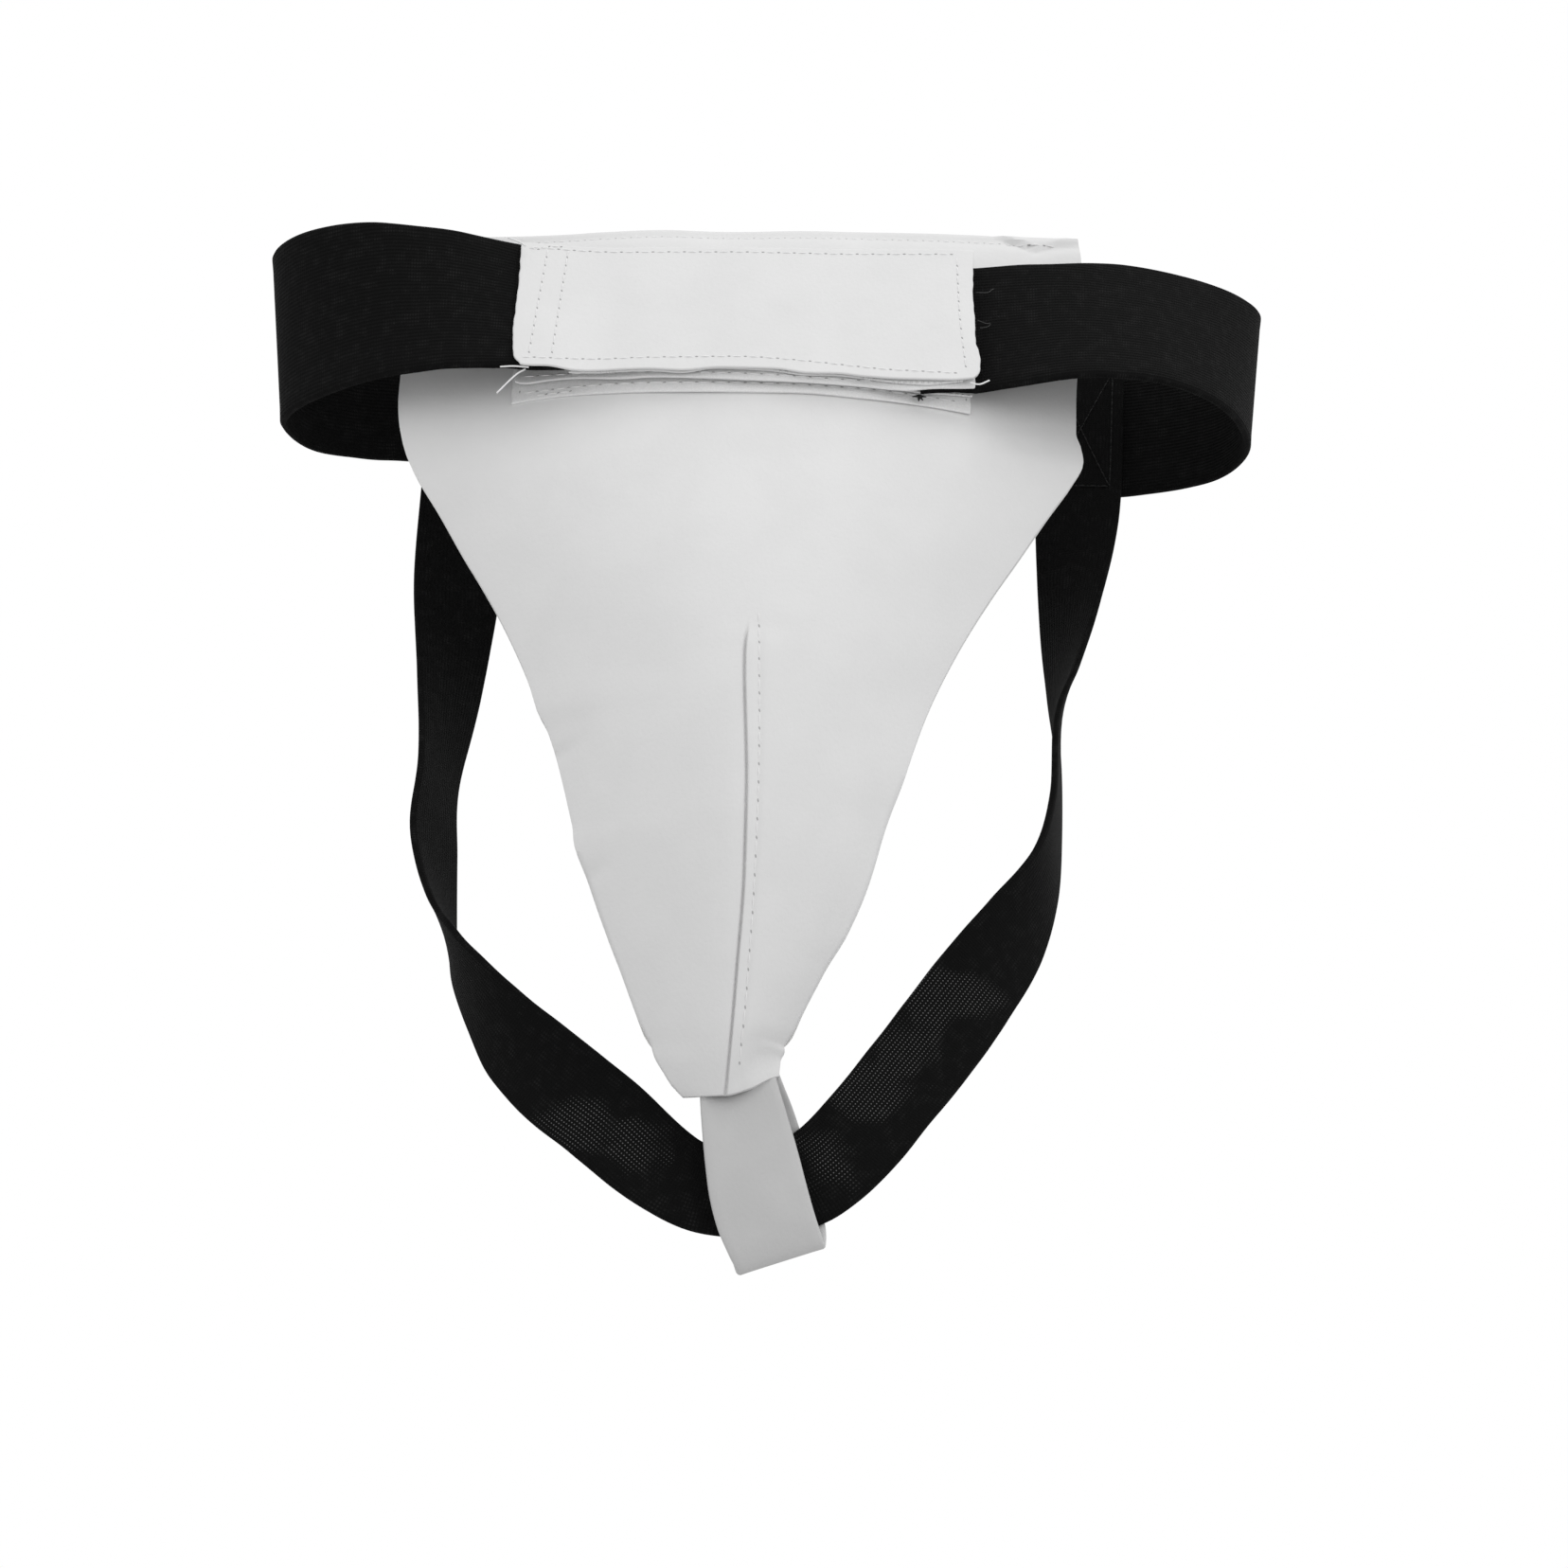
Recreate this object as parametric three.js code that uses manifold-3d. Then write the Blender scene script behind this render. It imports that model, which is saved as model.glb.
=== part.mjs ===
// Groin protector for striking sports: a padded shell on a waist elastic and a leg elastic.
// Millimetres. +Z is up, the wearer faces -Y, and the origin is the middle of the waist loop.
import * as THREE from "three";
import { mergeVertices } from "three/addons/utils/BufferGeometryUtils.js";
import Module from "manifold-3d";

const wasm = await Module();
wasm.setup();

// ---- Driving dimensions ----
const GAP = 0.3; // between pieces that touch
const SKIN = 1.2; // leather-look sheet
const LINING = 0.8;
const TAPE = 1.2; // hook tape and loop tape
const FOAM = 3.1; // front foam
const CUP_WALL = 2.5;
const WAIST_WIDTH = 38;
const WAIST_THICK = 1.6;
const LEG_WIDTH = 20;
const LEG_THICK = 1.4;
const CLOSURE_HALF_LENGTH = 51; // the flap, the belt end and the shell's tape share it
const SHELL_TOP = 29.8;
const SHELL_BOTTOM = -177.5;

// ---- Colours and finishes ----
const leather = (shade) => new THREE.MeshStandardMaterial({ color: shade, roughness: 0.45, metalness: 0 });
const cloth = (shade) => new THREE.MeshStandardMaterial({ color: shade, roughness: 0.9, metalness: 0 });
const moulded = (shade) => new THREE.MeshStandardMaterial({ color: shade, roughness: 0.35, metalness: 0 });
const WHITE = "#e4e4e4";
const TAPE_WHITE = "#dcdcdc";
const TAB_GREY = "#b8b8b8";
const FOAM_GREY = "#c9c6bd";
const CUP_WHITE = "#efefea";
const BLACK = "#17171a";

// ---- Helpers ----

// The height of a smooth line through [place, height] stations whose places fall.
function smoothLine(stations) {
  const slope = stations.map((station, i) => {
    const before = stations[Math.max(i - 1, 0)];
    const after = stations[Math.min(i + 1, stations.length - 1)];
    return (after[1] - before[1]) / (after[0] - before[0]);
  });
  return (place) => {
    const clamped = THREE.MathUtils.clamp(place, stations.at(-1)[0], stations[0][0]);
    const i = Math.max(stations.findIndex((station) => station[0] <= clamped), 1);
    const [x0, y0] = stations[i - 1];
    const [x1, y1] = stations[i];
    const run = x1 - x0;
    const t = (clamped - x0) / run;
    const bend0 = slope[i - 1] * run * t * (1 - t) ** 2;
    const bend1 = slope[i] * run * t ** 2 * (t - 1);
    return y0 + (y1 - y0) * t * t * (3 - 2 * t) + bend0 + bend1;
  };
}

// A box of the given steps, with each corner moved to place(u, v, w). u and v run 0 to 1 along
// and up the box, and w runs 0 to 1 from its far face to its near one.
function bentBox(uSteps, vSteps, place) {
  const box = new THREE.BoxGeometry(1, 1, 1, uSteps, vSteps, 1);
  box.deleteAttribute("normal");
  box.deleteAttribute("uv");
  const geometry = mergeVertices(box);
  const at = geometry.getAttribute("position");
  for (let i = 0; i < at.count; i++) {
    const moved = place(at.getX(i) + 0.5, at.getY(i) + 0.5, at.getZ(i) + 0.5);
    at.setXYZ(i, moved.x, moved.y, moved.z);
  }
  geometry.computeVertexNormals();
  return geometry;
}

function mesh(name, geometry, material) {
  const made = new THREE.Mesh(geometry, material);
  made.name = name;
  return made;
}

function solid(geometry) {
  const bare = geometry.clone();
  bare.deleteAttribute("normal");
  bare.deleteAttribute("uv");
  const merged = mergeVertices(bare);
  const vertProperties = new Float32Array(merged.attributes.position.array);
  const triVerts = new Uint32Array(merged.index.array);
  return new wasm.Manifold(new wasm.Mesh({ numProp: 3, vertProperties, triVerts }));
}

function geometryOf(made) {
  const { vertProperties, triVerts } = made.getMesh();
  const geometry = new THREE.BufferGeometry();
  geometry.setAttribute("position", new THREE.BufferAttribute(new Float32Array(vertProperties), 3));
  geometry.setIndex(new THREE.BufferAttribute(new Uint32Array(triVerts), 1));
  geometry.computeVertexNormals();
  return geometry;
}

// ---- The shell's form ----

// Half its width at each height: straight sides, then in to a narrow rounded foot.
const halfWidth = smoothLine([
  [SHELL_TOP, 75.5],
  [24, 76.3],
  [-15, 76.6],
  [-31, 74.6],
  [-50, 64.2],
  [-72, 51.2],
  [-94, 41.2],
  [-118, 33.8],
  [-146, 24],
  [-165, 14.6],
  [-172, 11.8],
  [-176, 9],
  [SHELL_BOTTOM, 6.4],
]);

// How far forward the turned edge lies. It is straight down to the hips, so the back is flat there.
const edgeDepth = smoothLine([
  [SHELL_TOP, -8.2],
  [0, -12],
  [-29, -14.6],
  [-58, -17.2],
  [-87, -20],
  [-116, -21.5],
  [-145, -19.5],
  [SHELL_BOTTOM, -16],
]);

// How far the middle of the front stands forward of its edges.
const crown = smoothLine([
  [SHELL_TOP, 2.5],
  [18, 6],
  [0, 8.5],
  [-29, 13.5],
  [-58, 18.3],
  [-87, 19.3],
  [-116, 17.4],
  [-145, 13.5],
  [-168, 8],
  [SHELL_BOTTOM, 4],
]);

// How deep the cup's hollow is in the back.
const hollow = smoothLine([
  [SHELL_TOP, 0],
  [-8, 0],
  [-20, 0],
  [-58, 6.5],
  [-87, 8.6],
  [-116, 7],
  [-150, 1.5],
  [-165, 0],
  [SHELL_BOTTOM, 0],
]);

const EDGE_THICK = SKIN + GAP + LINING;
const crownPower = (z) => 2.2 - 0.6 * THREE.MathUtils.smoothstep(-z, 20, 110);
const acrossShell = (x, z) => Math.min(Math.abs(x) / halfWidth(z), 1);

// Depth of the shell's outer face, and of its back face.
function frontDepth(x, z) {
  return edgeDepth(z) - crown(z) * (1 - acrossShell(x, z) ** crownPower(z));
}
function backDepth(x, z) {
  return edgeDepth(z) + EDGE_THICK - hollow(z) * (1 - acrossShell(x, z) ** 2) ** 2;
}

// A layer between two depths, over an outline of the given half width, from bottom to top.
function layer({ bottom, top, half, front, back, across, up }) {
  return bentBox(across, up, (u, v, w) => {
    const z = THREE.MathUtils.lerp(bottom, top, v);
    const x = (2 * u - 1) * half(z);
    return new THREE.Vector3(x, THREE.MathUtils.lerp(back(x, z), front(x, z), w), z);
  });
}

function frontCover() {
  const back = (x, z) => frontDepth(x, z) + SKIN;
  const outline = { bottom: SHELL_BOTTOM, top: SHELL_TOP, half: halfWidth };
  return layer({ ...outline, front: frontDepth, back, across: 18, up: 34 });
}

function backLining() {
  const front = (x, z) => backDepth(x, z) - LINING;
  const outline = { bottom: SHELL_BOTTOM, top: SHELL_TOP, half: halfWidth };
  return layer({ ...outline, front, back: backDepth, across: 10, up: 22 });
}

const FOAM_SIDE = 0.9; // the foam stops short of the turned edge
const foamFront = (x, z) => frontDepth(x, z) + SKIN + GAP;
const liningFront = (x, z) => backDepth(x, z) - LINING - GAP;
const foamBack = (x, z) => Math.min(foamFront(x, z) + FOAM, liningFront(x, z));

function frontFoam() {
  const outline = { bottom: -168, top: 18, half: (z) => FOAM_SIDE * halfWidth(z) };
  return layer({ ...outline, front: foamFront, back: foamBack, across: 12, up: 20 });
}

// The cup is a curved plate inside the foam, and its hollow faces the wearer.
const CUP_TOP = -34;
const CUP_BOTTOM = -150;
const CUP_END = 0.35; // its ends are this much of its full width
function cupHalfWidth(z) {
  const middle = (CUP_TOP + CUP_BOTTOM) / 2;
  const fromMiddle = Math.min(Math.abs(z - middle) / (CUP_TOP - middle), 1);
  const roundness = CUP_END + (1 - CUP_END) * Math.sqrt(1 - fromMiddle ** 2.5);
  return 0.6 * halfWidth(z) * roundness;
}
const cupFront = (x, z) => foamFront(x, z) + FOAM + GAP;
const cupBack = (x, z) => cupFront(x, z) + CUP_WALL;

// Vent slots with round ends, through the cup from front to back.
const VENT_WIDTH = 5;
const VENT_LENGTH = 16;
const VENT_ROWS = [-70, -92, -114];
const VENT_SPACING = 13;
function ventCutter(x, z) {
  const slot = new THREE.Shape();
  const straight = (VENT_LENGTH - VENT_WIDTH) / 2;
  slot.absarc(0, straight, VENT_WIDTH / 2, 0, Math.PI);
  slot.absarc(0, -straight, VENT_WIDTH / 2, Math.PI, 2 * Math.PI);
  const depth = 60;
  const cutter = new THREE.ExtrudeGeometry(slot, { depth, bevelEnabled: false, curveSegments: 4 });
  cutter.rotateX(Math.PI / 2);
  cutter.translate(x, 0, z);
  return cutter;
}

function hardCup() {
  const outline = { bottom: CUP_BOTTOM, top: CUP_TOP, half: cupHalfWidth };
  let cup = solid(layer({ ...outline, front: cupFront, back: cupBack, across: 12, up: 20 }));
  for (const z of VENT_ROWS) {
    for (const x of [-VENT_SPACING, 0, VENT_SPACING]) {
      cup = cup.subtract(solid(ventCutter(x, z)));
    }
  }
  return geometryOf(cup);
}

function rearFoam() {
  const half = (z) => 0.94 * cupHalfWidth(z);
  const front = (x, z) => cupBack(x, z) + GAP;
  const outline = { bottom: CUP_BOTTOM + 4, top: CUP_TOP - 4, half };
  return layer({ ...outline, front, back: liningFront, across: 8, up: 14 });
}

// ---- The closure on the shell's upper front ----
// From the shell outwards: shell tape, belt end (hook tape, then loop tape), flap (hook, skin).

const TAPE_TOP = 15;
const BELT_END_HEIGHT = { bottom: -19.4, top: 17.2 };
const FLAP_HEIGHT = { bottom: -17.2, top: 18.4 };
const ELASTIC_LAP = 12; // length of elastic sewn into the flap and into the belt end
const LAP_START = CLOSURE_HALF_LENGTH - ELASTIC_LAP;
const CLOSURE_ENDS = { from: -CLOSURE_HALF_LENGTH, to: CLOSURE_HALF_LENGTH };

// A flat strip between two sides, from its back at offset(x, z) forward. All strips share a step.
const CLOSURE_STEP = 3;
function closureStrip({ from, to, bottom, top, offset, thick }) {
  const across = Math.round((to - from) / CLOSURE_STEP);
  return bentBox(across, 3, (u, v, w) => {
    const x = THREE.MathUtils.lerp(from, to, u);
    const z = THREE.MathUtils.lerp(bottom, top, v);
    return new THREE.Vector3(x, offset(x, z) - w * thick, z);
  });
}

const onShell = (lift) => (x, z) => frontDepth(x, z) - lift;
const HOOK_LIFT = 2 * GAP + TAPE;
const LOOP_LIFT = HOOK_LIFT + TAPE + GAP;

// The belt end's loop tape rises over the elastic that is sewn in behind it.
function beltLoopBack(x, z) {
  const rise = (WAIST_THICK + GAP) * THREE.MathUtils.smoothstep(x, LAP_START - 9, LAP_START - 1);
  return frontDepth(x, z) - LOOP_LIFT - rise;
}

// The flap lies on the belt end to the right of the middle, and runs on straight to the left.
function flapBack(x, z) {
  return beltLoopBack(Math.max(x, 0), z) - TAPE - GAP;
}
const flapSkinBack = (x, z) => flapBack(x, z) - WAIST_THICK - GAP;

function shellLoopTape() {
  const height = { bottom: TAPE_TOP - WAIST_WIDTH, top: TAPE_TOP };
  return closureStrip({ ...CLOSURE_ENDS, ...height, offset: onShell(GAP), thick: TAPE });
}

function beltEnd(offset) {
  return closureStrip({ ...CLOSURE_ENDS, ...BELT_END_HEIGHT, offset, thick: TAPE });
}

function beltEndElastic() {
  const ends = { from: LAP_START, to: CLOSURE_HALF_LENGTH };
  const offset = onShell(LOOP_LIFT);
  return closureStrip({ ...ends, ...BELT_END_HEIGHT, offset, thick: WAIST_THICK });
}

function flapHookTape() {
  const ends = { from: CLOSURE_STEP - LAP_START, to: CLOSURE_HALF_LENGTH - CLOSURE_STEP };
  return closureStrip({ ...ends, ...FLAP_HEIGHT, offset: flapBack, thick: TAPE });
}

function flapElastic() {
  const ends = { from: -CLOSURE_HALF_LENGTH, to: -LAP_START };
  return closureStrip({ ...ends, ...FLAP_HEIGHT, offset: flapBack, thick: WAIST_THICK });
}

function flapSkin() {
  return closureStrip({ ...CLOSURE_ENDS, ...FLAP_HEIGHT, offset: flapSkinBack, thick: SKIN });
}

// ---- Elastics ----

// A ribbon between two edge curves of matching stations, from one station to another.
function ribbon(lower, upper, thick, from, to, stepsPerStation) {
  const last = lower.points.length - 1;
  const steps = Math.ceil((to - from) * stepsPerStation);
  return bentBox(steps, 2, (u, v, w) => {
    const t = THREE.MathUtils.lerp(from, to, u) / last;
    const low = lower.getPoint(t);
    const high = upper.getPoint(t);
    const ahead = lower.getTangent(t).lerp(upper.getTangent(t), v);
    const face = ahead.cross(high.clone().sub(low)).normalize();
    return low.lerp(high, v).addScaledVector(face, (w - 0.5) * thick);
  });
}

const curveThrough = (points) => new THREE.CatmullRomCurve3(points, false, "catmullrom", 0.5);

// Where the waist elastic comes out of the flap and out of the belt end, on the edge at height z.
const flapExit = (z) => [-CLOSURE_HALF_LENGTH - GAP, flapBack(0, z) - WAIST_THICK / 2];
function beltEndExit(z) {
  const x = CLOSURE_HALF_LENGTH + GAP;
  return [x, frontDepth(x, z) - LOOP_LIFT - WAIST_THICK / 2];
}

// The waist elastic's route in plan, as [lower edge x, y, upper edge x, y]: from the flap, round
// the left side, across the back and round the right side to the belt end.
const HALF_RISE = 18.2; // each edge is this far above or below the middle
const WAIST_ROUTE = [
  [...flapExit(-HALF_RISE), ...flapExit(HALF_RISE)],
  [-66, -29.6, -67, -27.2],
  [-82, -23.5, -83, -29.9],
  [-96, -14, -98, -26],
  [-104.8, -3, -107.3, -16],
  [-101.5, 9, -105, -4],
  [-90, 13.9, -95, 6.5],
  [-72, 15.4, -76, 12.6],
  [-40, 18.5, -42, 18],
  [0, 23.5, 0, 23.5],
  [40, 27, 40, 27],
  [80, 28, 82, 28],
  [101, 23.6, 103, 24],
  [112.5, 14.5, 117, 15.5],
  [115.2, 1, 119.8, 4],
  [108.6, -15, 113, -5],
  [96, -27, 100.5, -12.3],
  [82, -31.3, 85, -17],
  [67, -30, 68, -19.5],
  [...beltEndExit(-HALF_RISE), ...beltEndExit(HALF_RISE)],
];
const waistLower = curveThrough(WAIST_ROUTE.map(([x, y]) => new THREE.Vector3(x, y, -HALF_RISE)));
const waistUpper = curveThrough(WAIST_ROUTE.map(([, , x, y]) => new THREE.Vector3(x, y, HALF_RISE)));

// The leg elastic's route, as [x, y, z, turn]: down from the back left of the waist, under the
// shell and up to the back right. turn is in degrees: 0 faces the front, -90 is edge on, and -180
// faces the front with its other side, so the elastic makes half a twist on its way down each leg.
const LEG_ROUTE = [
  [-65, 12.3, 14, -9],
  [-65, 13.8, -18, -6],
  [-65.3, 13.5, -50, -14],
  [-65.4, 11.5, -76, -52],
  [-66, 8.5, -98, -72],
  [-65.8, 6.6, -115, -68],
  [-63, 4.4, -131, -81],
  [-59.4, 1.8, -141.5, -101],
  [-53, -0.8, -151.7, -120],
  [-45.3, -3.4, -161.7, -143],
  [-36, -6.2, -170.4, -163],
  [-25.5, -8.6, -179.3, -181],
  [-14, -10.9, -189.8, -191],
  [-5, -12, -194.8, -192],
  [6, -12.2, -195.2, -191],
  [16, -11.4, -191.9, -190],
  [24.5, -9.4, -184.6, -189],
  [33, -6.6, -173.8, -188],
  [42, -3, -161.5, -181],
  [51.8, 0.6, -147.2, -162],
  [60.9, 4.2, -133.6, -140],
  [67.8, 8, -120.2, -114],
  [70.9, 12, -105, -101],
  [72.2, 16.8, -84, -97],
  [74.2, 20.2, -69, -77],
  [76.2, 22.4, -51, -53],
  [78.8, 24.4, -24, -12],
  [81, 25, 14, -2],
];
const DEPTH_WAY = new THREE.Vector3(0, 1, 0);
const legMiddle = curveThrough(LEG_ROUTE.map(([x, y, z]) => new THREE.Vector3(x, y, z)));

// One edge of the leg elastic: side is 1 for the inner and upper edge, -1 for the other.
function legEdge(side) {
  return curveThrough(
    LEG_ROUTE.map(([x, y, z, turn], i) => {
      const ahead = legMiddle.getTangent(i / (LEG_ROUTE.length - 1));
      const inward = ahead.clone().cross(DEPTH_WAY).normalize();
      const forward = ahead.clone().cross(inward).normalize();
      const angle = THREE.MathUtils.degToRad(turn);
      const widthWay = inward.multiplyScalar(Math.cos(angle)).addScaledVector(forward, Math.sin(angle));
      return new THREE.Vector3(x, y, z).addScaledVector(widthWay, (side * LEG_WIDTH) / 2);
    }),
  );
}
const legOuter = legEdge(-1);
const legInner = legEdge(1);

// Where the elastics are parted at the joints, in stations, with a small cut between the lengths.
const CUT = 0.02;
const WAIST_PARTS = {
  waist_elastic_left_side: [0, 6.5],
  waist_elastic_back: [6.5 + CUT, 11.5],
  waist_elastic_right_side: [11.5 + CUT, 19],
};
const LEG_PARTS = {
  leg_elastic_left_end: [0, 1.3],
  leg_elastic_left_side: [1.3 + CUT, 12],
  leg_elastic_crotch: [12 + CUT, 16],
  leg_elastic_right_side: [16 + CUT, 25.7],
  leg_elastic_right_end: [25.7 + CUT, 27],
};

function waistElastic() {
  const group = new THREE.Group();
  for (const [name, [from, to]] of Object.entries(WAIST_PARTS)) {
    const shape = ribbon(waistLower, waistUpper, WAIST_THICK, from, to, 5);
    group.add(mesh(name, shape, cloth(BLACK)));
  }
  return group;
}

function legElastic() {
  const group = new THREE.Group();
  for (const [name, [from, to]] of Object.entries(LEG_PARTS)) {
    const shape = ribbon(legOuter, legInner, LEG_THICK, from, to, 4);
    group.add(mesh(name, shape, cloth(BLACK)));
  }
  return group;
}

// ---- The crotch tab ----
// A strip folded into a loop under the shell's foot, with the leg elastic through it.

const TAB_WIDTH = 17.5;
const TAB_THICK = 1.2;
const TAB_DROP = 30.2;
const TAB_TILT = THREE.MathUtils.degToRad(15); // the leg elastic pulls it askew
const TAB_TOP = new THREE.Vector3(2.4, -16, SHELL_BOTTOM - 2);

// The loop seen from its side: x is depth behind the tab's top, y is height below it.
function crotchTab() {
  const outer = new THREE.Shape();
  outer.moveTo(-TAB_THICK, 0);
  outer.bezierCurveTo(-TAB_THICK, -7, -3.4, -10, -3.2, -19);
  outer.bezierCurveTo(-3.1, -25, -2.5, -30, 0.2, -TAB_DROP);
  outer.bezierCurveTo(4, -TAB_DROP, 8.8, -23, 9.6, -15);
  outer.bezierCurveTo(10, -8, 10, -3, 7.8, -0.9);
  outer.lineTo(TAB_THICK, 0);
  outer.closePath();
  const slot = new THREE.Path();
  slot.moveTo(0, -1.2);
  slot.bezierCurveTo(-0.2, -8, -2.2, -11, -2, -19);
  slot.bezierCurveTo(-1.9, -24, -1.5, -28.5, 0.4, TAB_THICK - TAB_DROP);
  slot.bezierCurveTo(3.6, -29, 7.6, -22, 8.4, -15);
  slot.bezierCurveTo(8.8, -8, 8.8, -4, 7.4, -2.1);
  slot.lineTo(0, -1.2);
  outer.holes.push(slot);
  const options = { depth: TAB_WIDTH, bevelEnabled: false, curveSegments: 8 };
  const loop = new THREE.ExtrudeGeometry(outer, options);
  loop.translate(0, 0, -TAB_WIDTH / 2);
  loop.rotateX(Math.PI / 2);
  loop.rotateZ(Math.PI / 2);
  const tab = mesh("crotch_tab", loop, leather(TAB_GREY));
  tab.rotation.y = -TAB_TILT;
  tab.position.copy(TAB_TOP);
  return tab;
}

// ---- Assembly ----

function shell() {
  const group = new THREE.Group();
  group.add(mesh("front_cover", frontCover(), leather(WHITE)));
  group.add(mesh("front_foam", frontFoam(), cloth(FOAM_GREY)));
  group.add(mesh("hard_cup", hardCup(), moulded(CUP_WHITE)));
  group.add(mesh("rear_foam", rearFoam(), cloth(FOAM_GREY)));
  group.add(mesh("back_lining", backLining(), cloth(WHITE)));
  return group;
}

function closure() {
  const group = new THREE.Group();
  group.add(mesh("shell_loop_tape", shellLoopTape(), cloth(TAPE_WHITE)));
  group.add(mesh("belt_end_hook_tape", beltEnd(onShell(HOOK_LIFT)), cloth(TAPE_WHITE)));
  group.add(mesh("belt_end_loop_tape", beltEnd(beltLoopBack), cloth(TAPE_WHITE)));
  group.add(mesh("flap_hook_tape", flapHookTape(), cloth(TAPE_WHITE)));
  group.add(mesh("flap_skin", flapSkin(), leather(WHITE)));
  group.add(mesh("waist_elastic_left_end", flapElastic(), cloth(BLACK)));
  group.add(mesh("waist_elastic_right_end", beltEndElastic(), cloth(BLACK)));
  return group;
}

const groinProtector = new THREE.Group();
groinProtector.add(shell(), closure(), waistElastic(), legElastic(), crotchTab());

export default groinProtector;
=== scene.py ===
import math

import bpy
import numpy as np
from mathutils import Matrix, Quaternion, Vector, noise


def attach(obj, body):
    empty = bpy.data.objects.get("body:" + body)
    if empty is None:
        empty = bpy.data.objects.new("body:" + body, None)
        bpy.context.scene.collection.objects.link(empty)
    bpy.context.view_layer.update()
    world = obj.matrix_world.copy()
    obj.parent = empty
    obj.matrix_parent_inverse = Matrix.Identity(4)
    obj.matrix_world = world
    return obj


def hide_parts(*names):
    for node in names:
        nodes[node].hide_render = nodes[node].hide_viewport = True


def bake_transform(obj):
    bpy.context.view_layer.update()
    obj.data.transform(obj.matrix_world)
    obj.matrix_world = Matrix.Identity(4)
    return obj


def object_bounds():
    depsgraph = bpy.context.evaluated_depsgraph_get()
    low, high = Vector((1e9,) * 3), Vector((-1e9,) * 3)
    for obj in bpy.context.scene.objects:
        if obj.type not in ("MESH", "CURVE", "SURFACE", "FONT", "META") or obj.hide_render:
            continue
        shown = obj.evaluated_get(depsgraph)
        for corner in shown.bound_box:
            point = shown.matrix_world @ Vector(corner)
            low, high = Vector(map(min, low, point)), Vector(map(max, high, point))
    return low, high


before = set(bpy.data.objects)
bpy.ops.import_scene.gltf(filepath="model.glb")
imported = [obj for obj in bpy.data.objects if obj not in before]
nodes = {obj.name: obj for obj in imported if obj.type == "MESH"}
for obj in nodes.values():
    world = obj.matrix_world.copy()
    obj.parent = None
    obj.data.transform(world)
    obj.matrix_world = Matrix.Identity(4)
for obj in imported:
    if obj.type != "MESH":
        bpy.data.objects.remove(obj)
cad_low, cad_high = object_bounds()
MM = 0.001


# ---- Numbers ----

def smoothstep(low, high, value):
    t = np.clip((value - low) / (high - low), 0, 1)
    return t * t * (3 - 2 * t)


def mm(rows):
    return np.array(rows, float) * MM


def hill(value, centre, width):
    """1 at the centre, falling to about a third at one width away."""
    return np.exp(-(((value - centre) / width) ** 2))


def unit(vectors):
    return vectors / np.maximum(np.linalg.norm(vectors, axis=-1, keepdims=True), 1e-12)


def grey(level):
    return (level, level, level)


def waves(points, size, seed):
    """Smooth noise from about -1 to 1 at each point, with bumps of the given size."""
    flat = points.reshape(-1, 3) / size + 17.3 * seed
    values = [noise.noise(Vector(p)) for p in flat]
    return np.array(values).reshape(points.shape[:-1])


def line_through(stations, place):
    """The height at each place of a smooth line through [place, height] stations that rise."""
    places, heights = np.array(stations, float).T
    grades = np.diff(heights) / np.diff(places)
    turning = grades[1:] * grades[:-1] <= 0
    sums = np.where(turning, 1, grades[1:] + grades[:-1])
    inner = np.where(turning, 0, 2 * grades[1:] * grades[:-1] / sums)
    slopes = np.concatenate([grades[:1], inner, grades[-1:]])
    place = np.clip(place, places[0], places[-1])
    i = np.clip(np.searchsorted(places, place) - 1, 0, len(places) - 2)
    run = places[i + 1] - places[i]
    t = (place - places[i]) / run
    bend = slopes[i] * run * t * (1 - t) ** 2 + slopes[i + 1] * run * t**2 * (t - 1)
    return heights[i] + (heights[i + 1] - heights[i]) * t * t * (3 - 2 * t) + bend


# ---- Smooth lines and surfaces through the frame's corners ----

def cubic_weights(t):
    weights = [
        -0.5 * t + t**2 - 0.5 * t**3,
        1 - 2.5 * t**2 + 1.5 * t**3,
        0.5 * t + 2 * t**2 - 1.5 * t**3,
        -0.5 * t**2 + 0.5 * t**3,
    ]
    return np.stack(weights, axis=-1)


def with_ends(points):
    """Points with one more straight on past each end."""
    return np.concatenate([2 * points[:1] - points[1:2], points, 2 * points[-1:] - points[-2:-1]])


def curve(stations, t):
    """Points at fractional stations t of the smooth curve through the stations."""
    padded = with_ends(stations)
    first = np.clip(np.floor(t).astype(int), 0, len(stations) - 2)
    weights = cubic_weights(t - first)
    return sum(weights[:, i, None] * padded[first + i] for i in range(4))


def surface(grid, rows, columns):
    """Points at fractional rows and columns of the smooth surface through a grid of corners."""
    padded = with_ends(grid)
    padded = np.moveaxis(with_ends(np.moveaxis(padded, 1, 0)), 0, 1)
    row = np.clip(np.floor(rows).astype(int), 0, grid.shape[0] - 2)
    column = np.clip(np.floor(columns).astype(int), 0, grid.shape[1] - 2)
    along_row = cubic_weights(rows - row)
    along_column = cubic_weights(columns - column)
    total = 0
    for i in range(4):
        for j in range(4):
            weight = along_row[..., i] * along_column[..., j]
            total = total + weight[..., None] * padded[row + i, column + j]
    return total


def corners(node):
    return np.unique(np.round([v.co for v in nodes[node].data.vertices], 6), axis=0)


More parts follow.
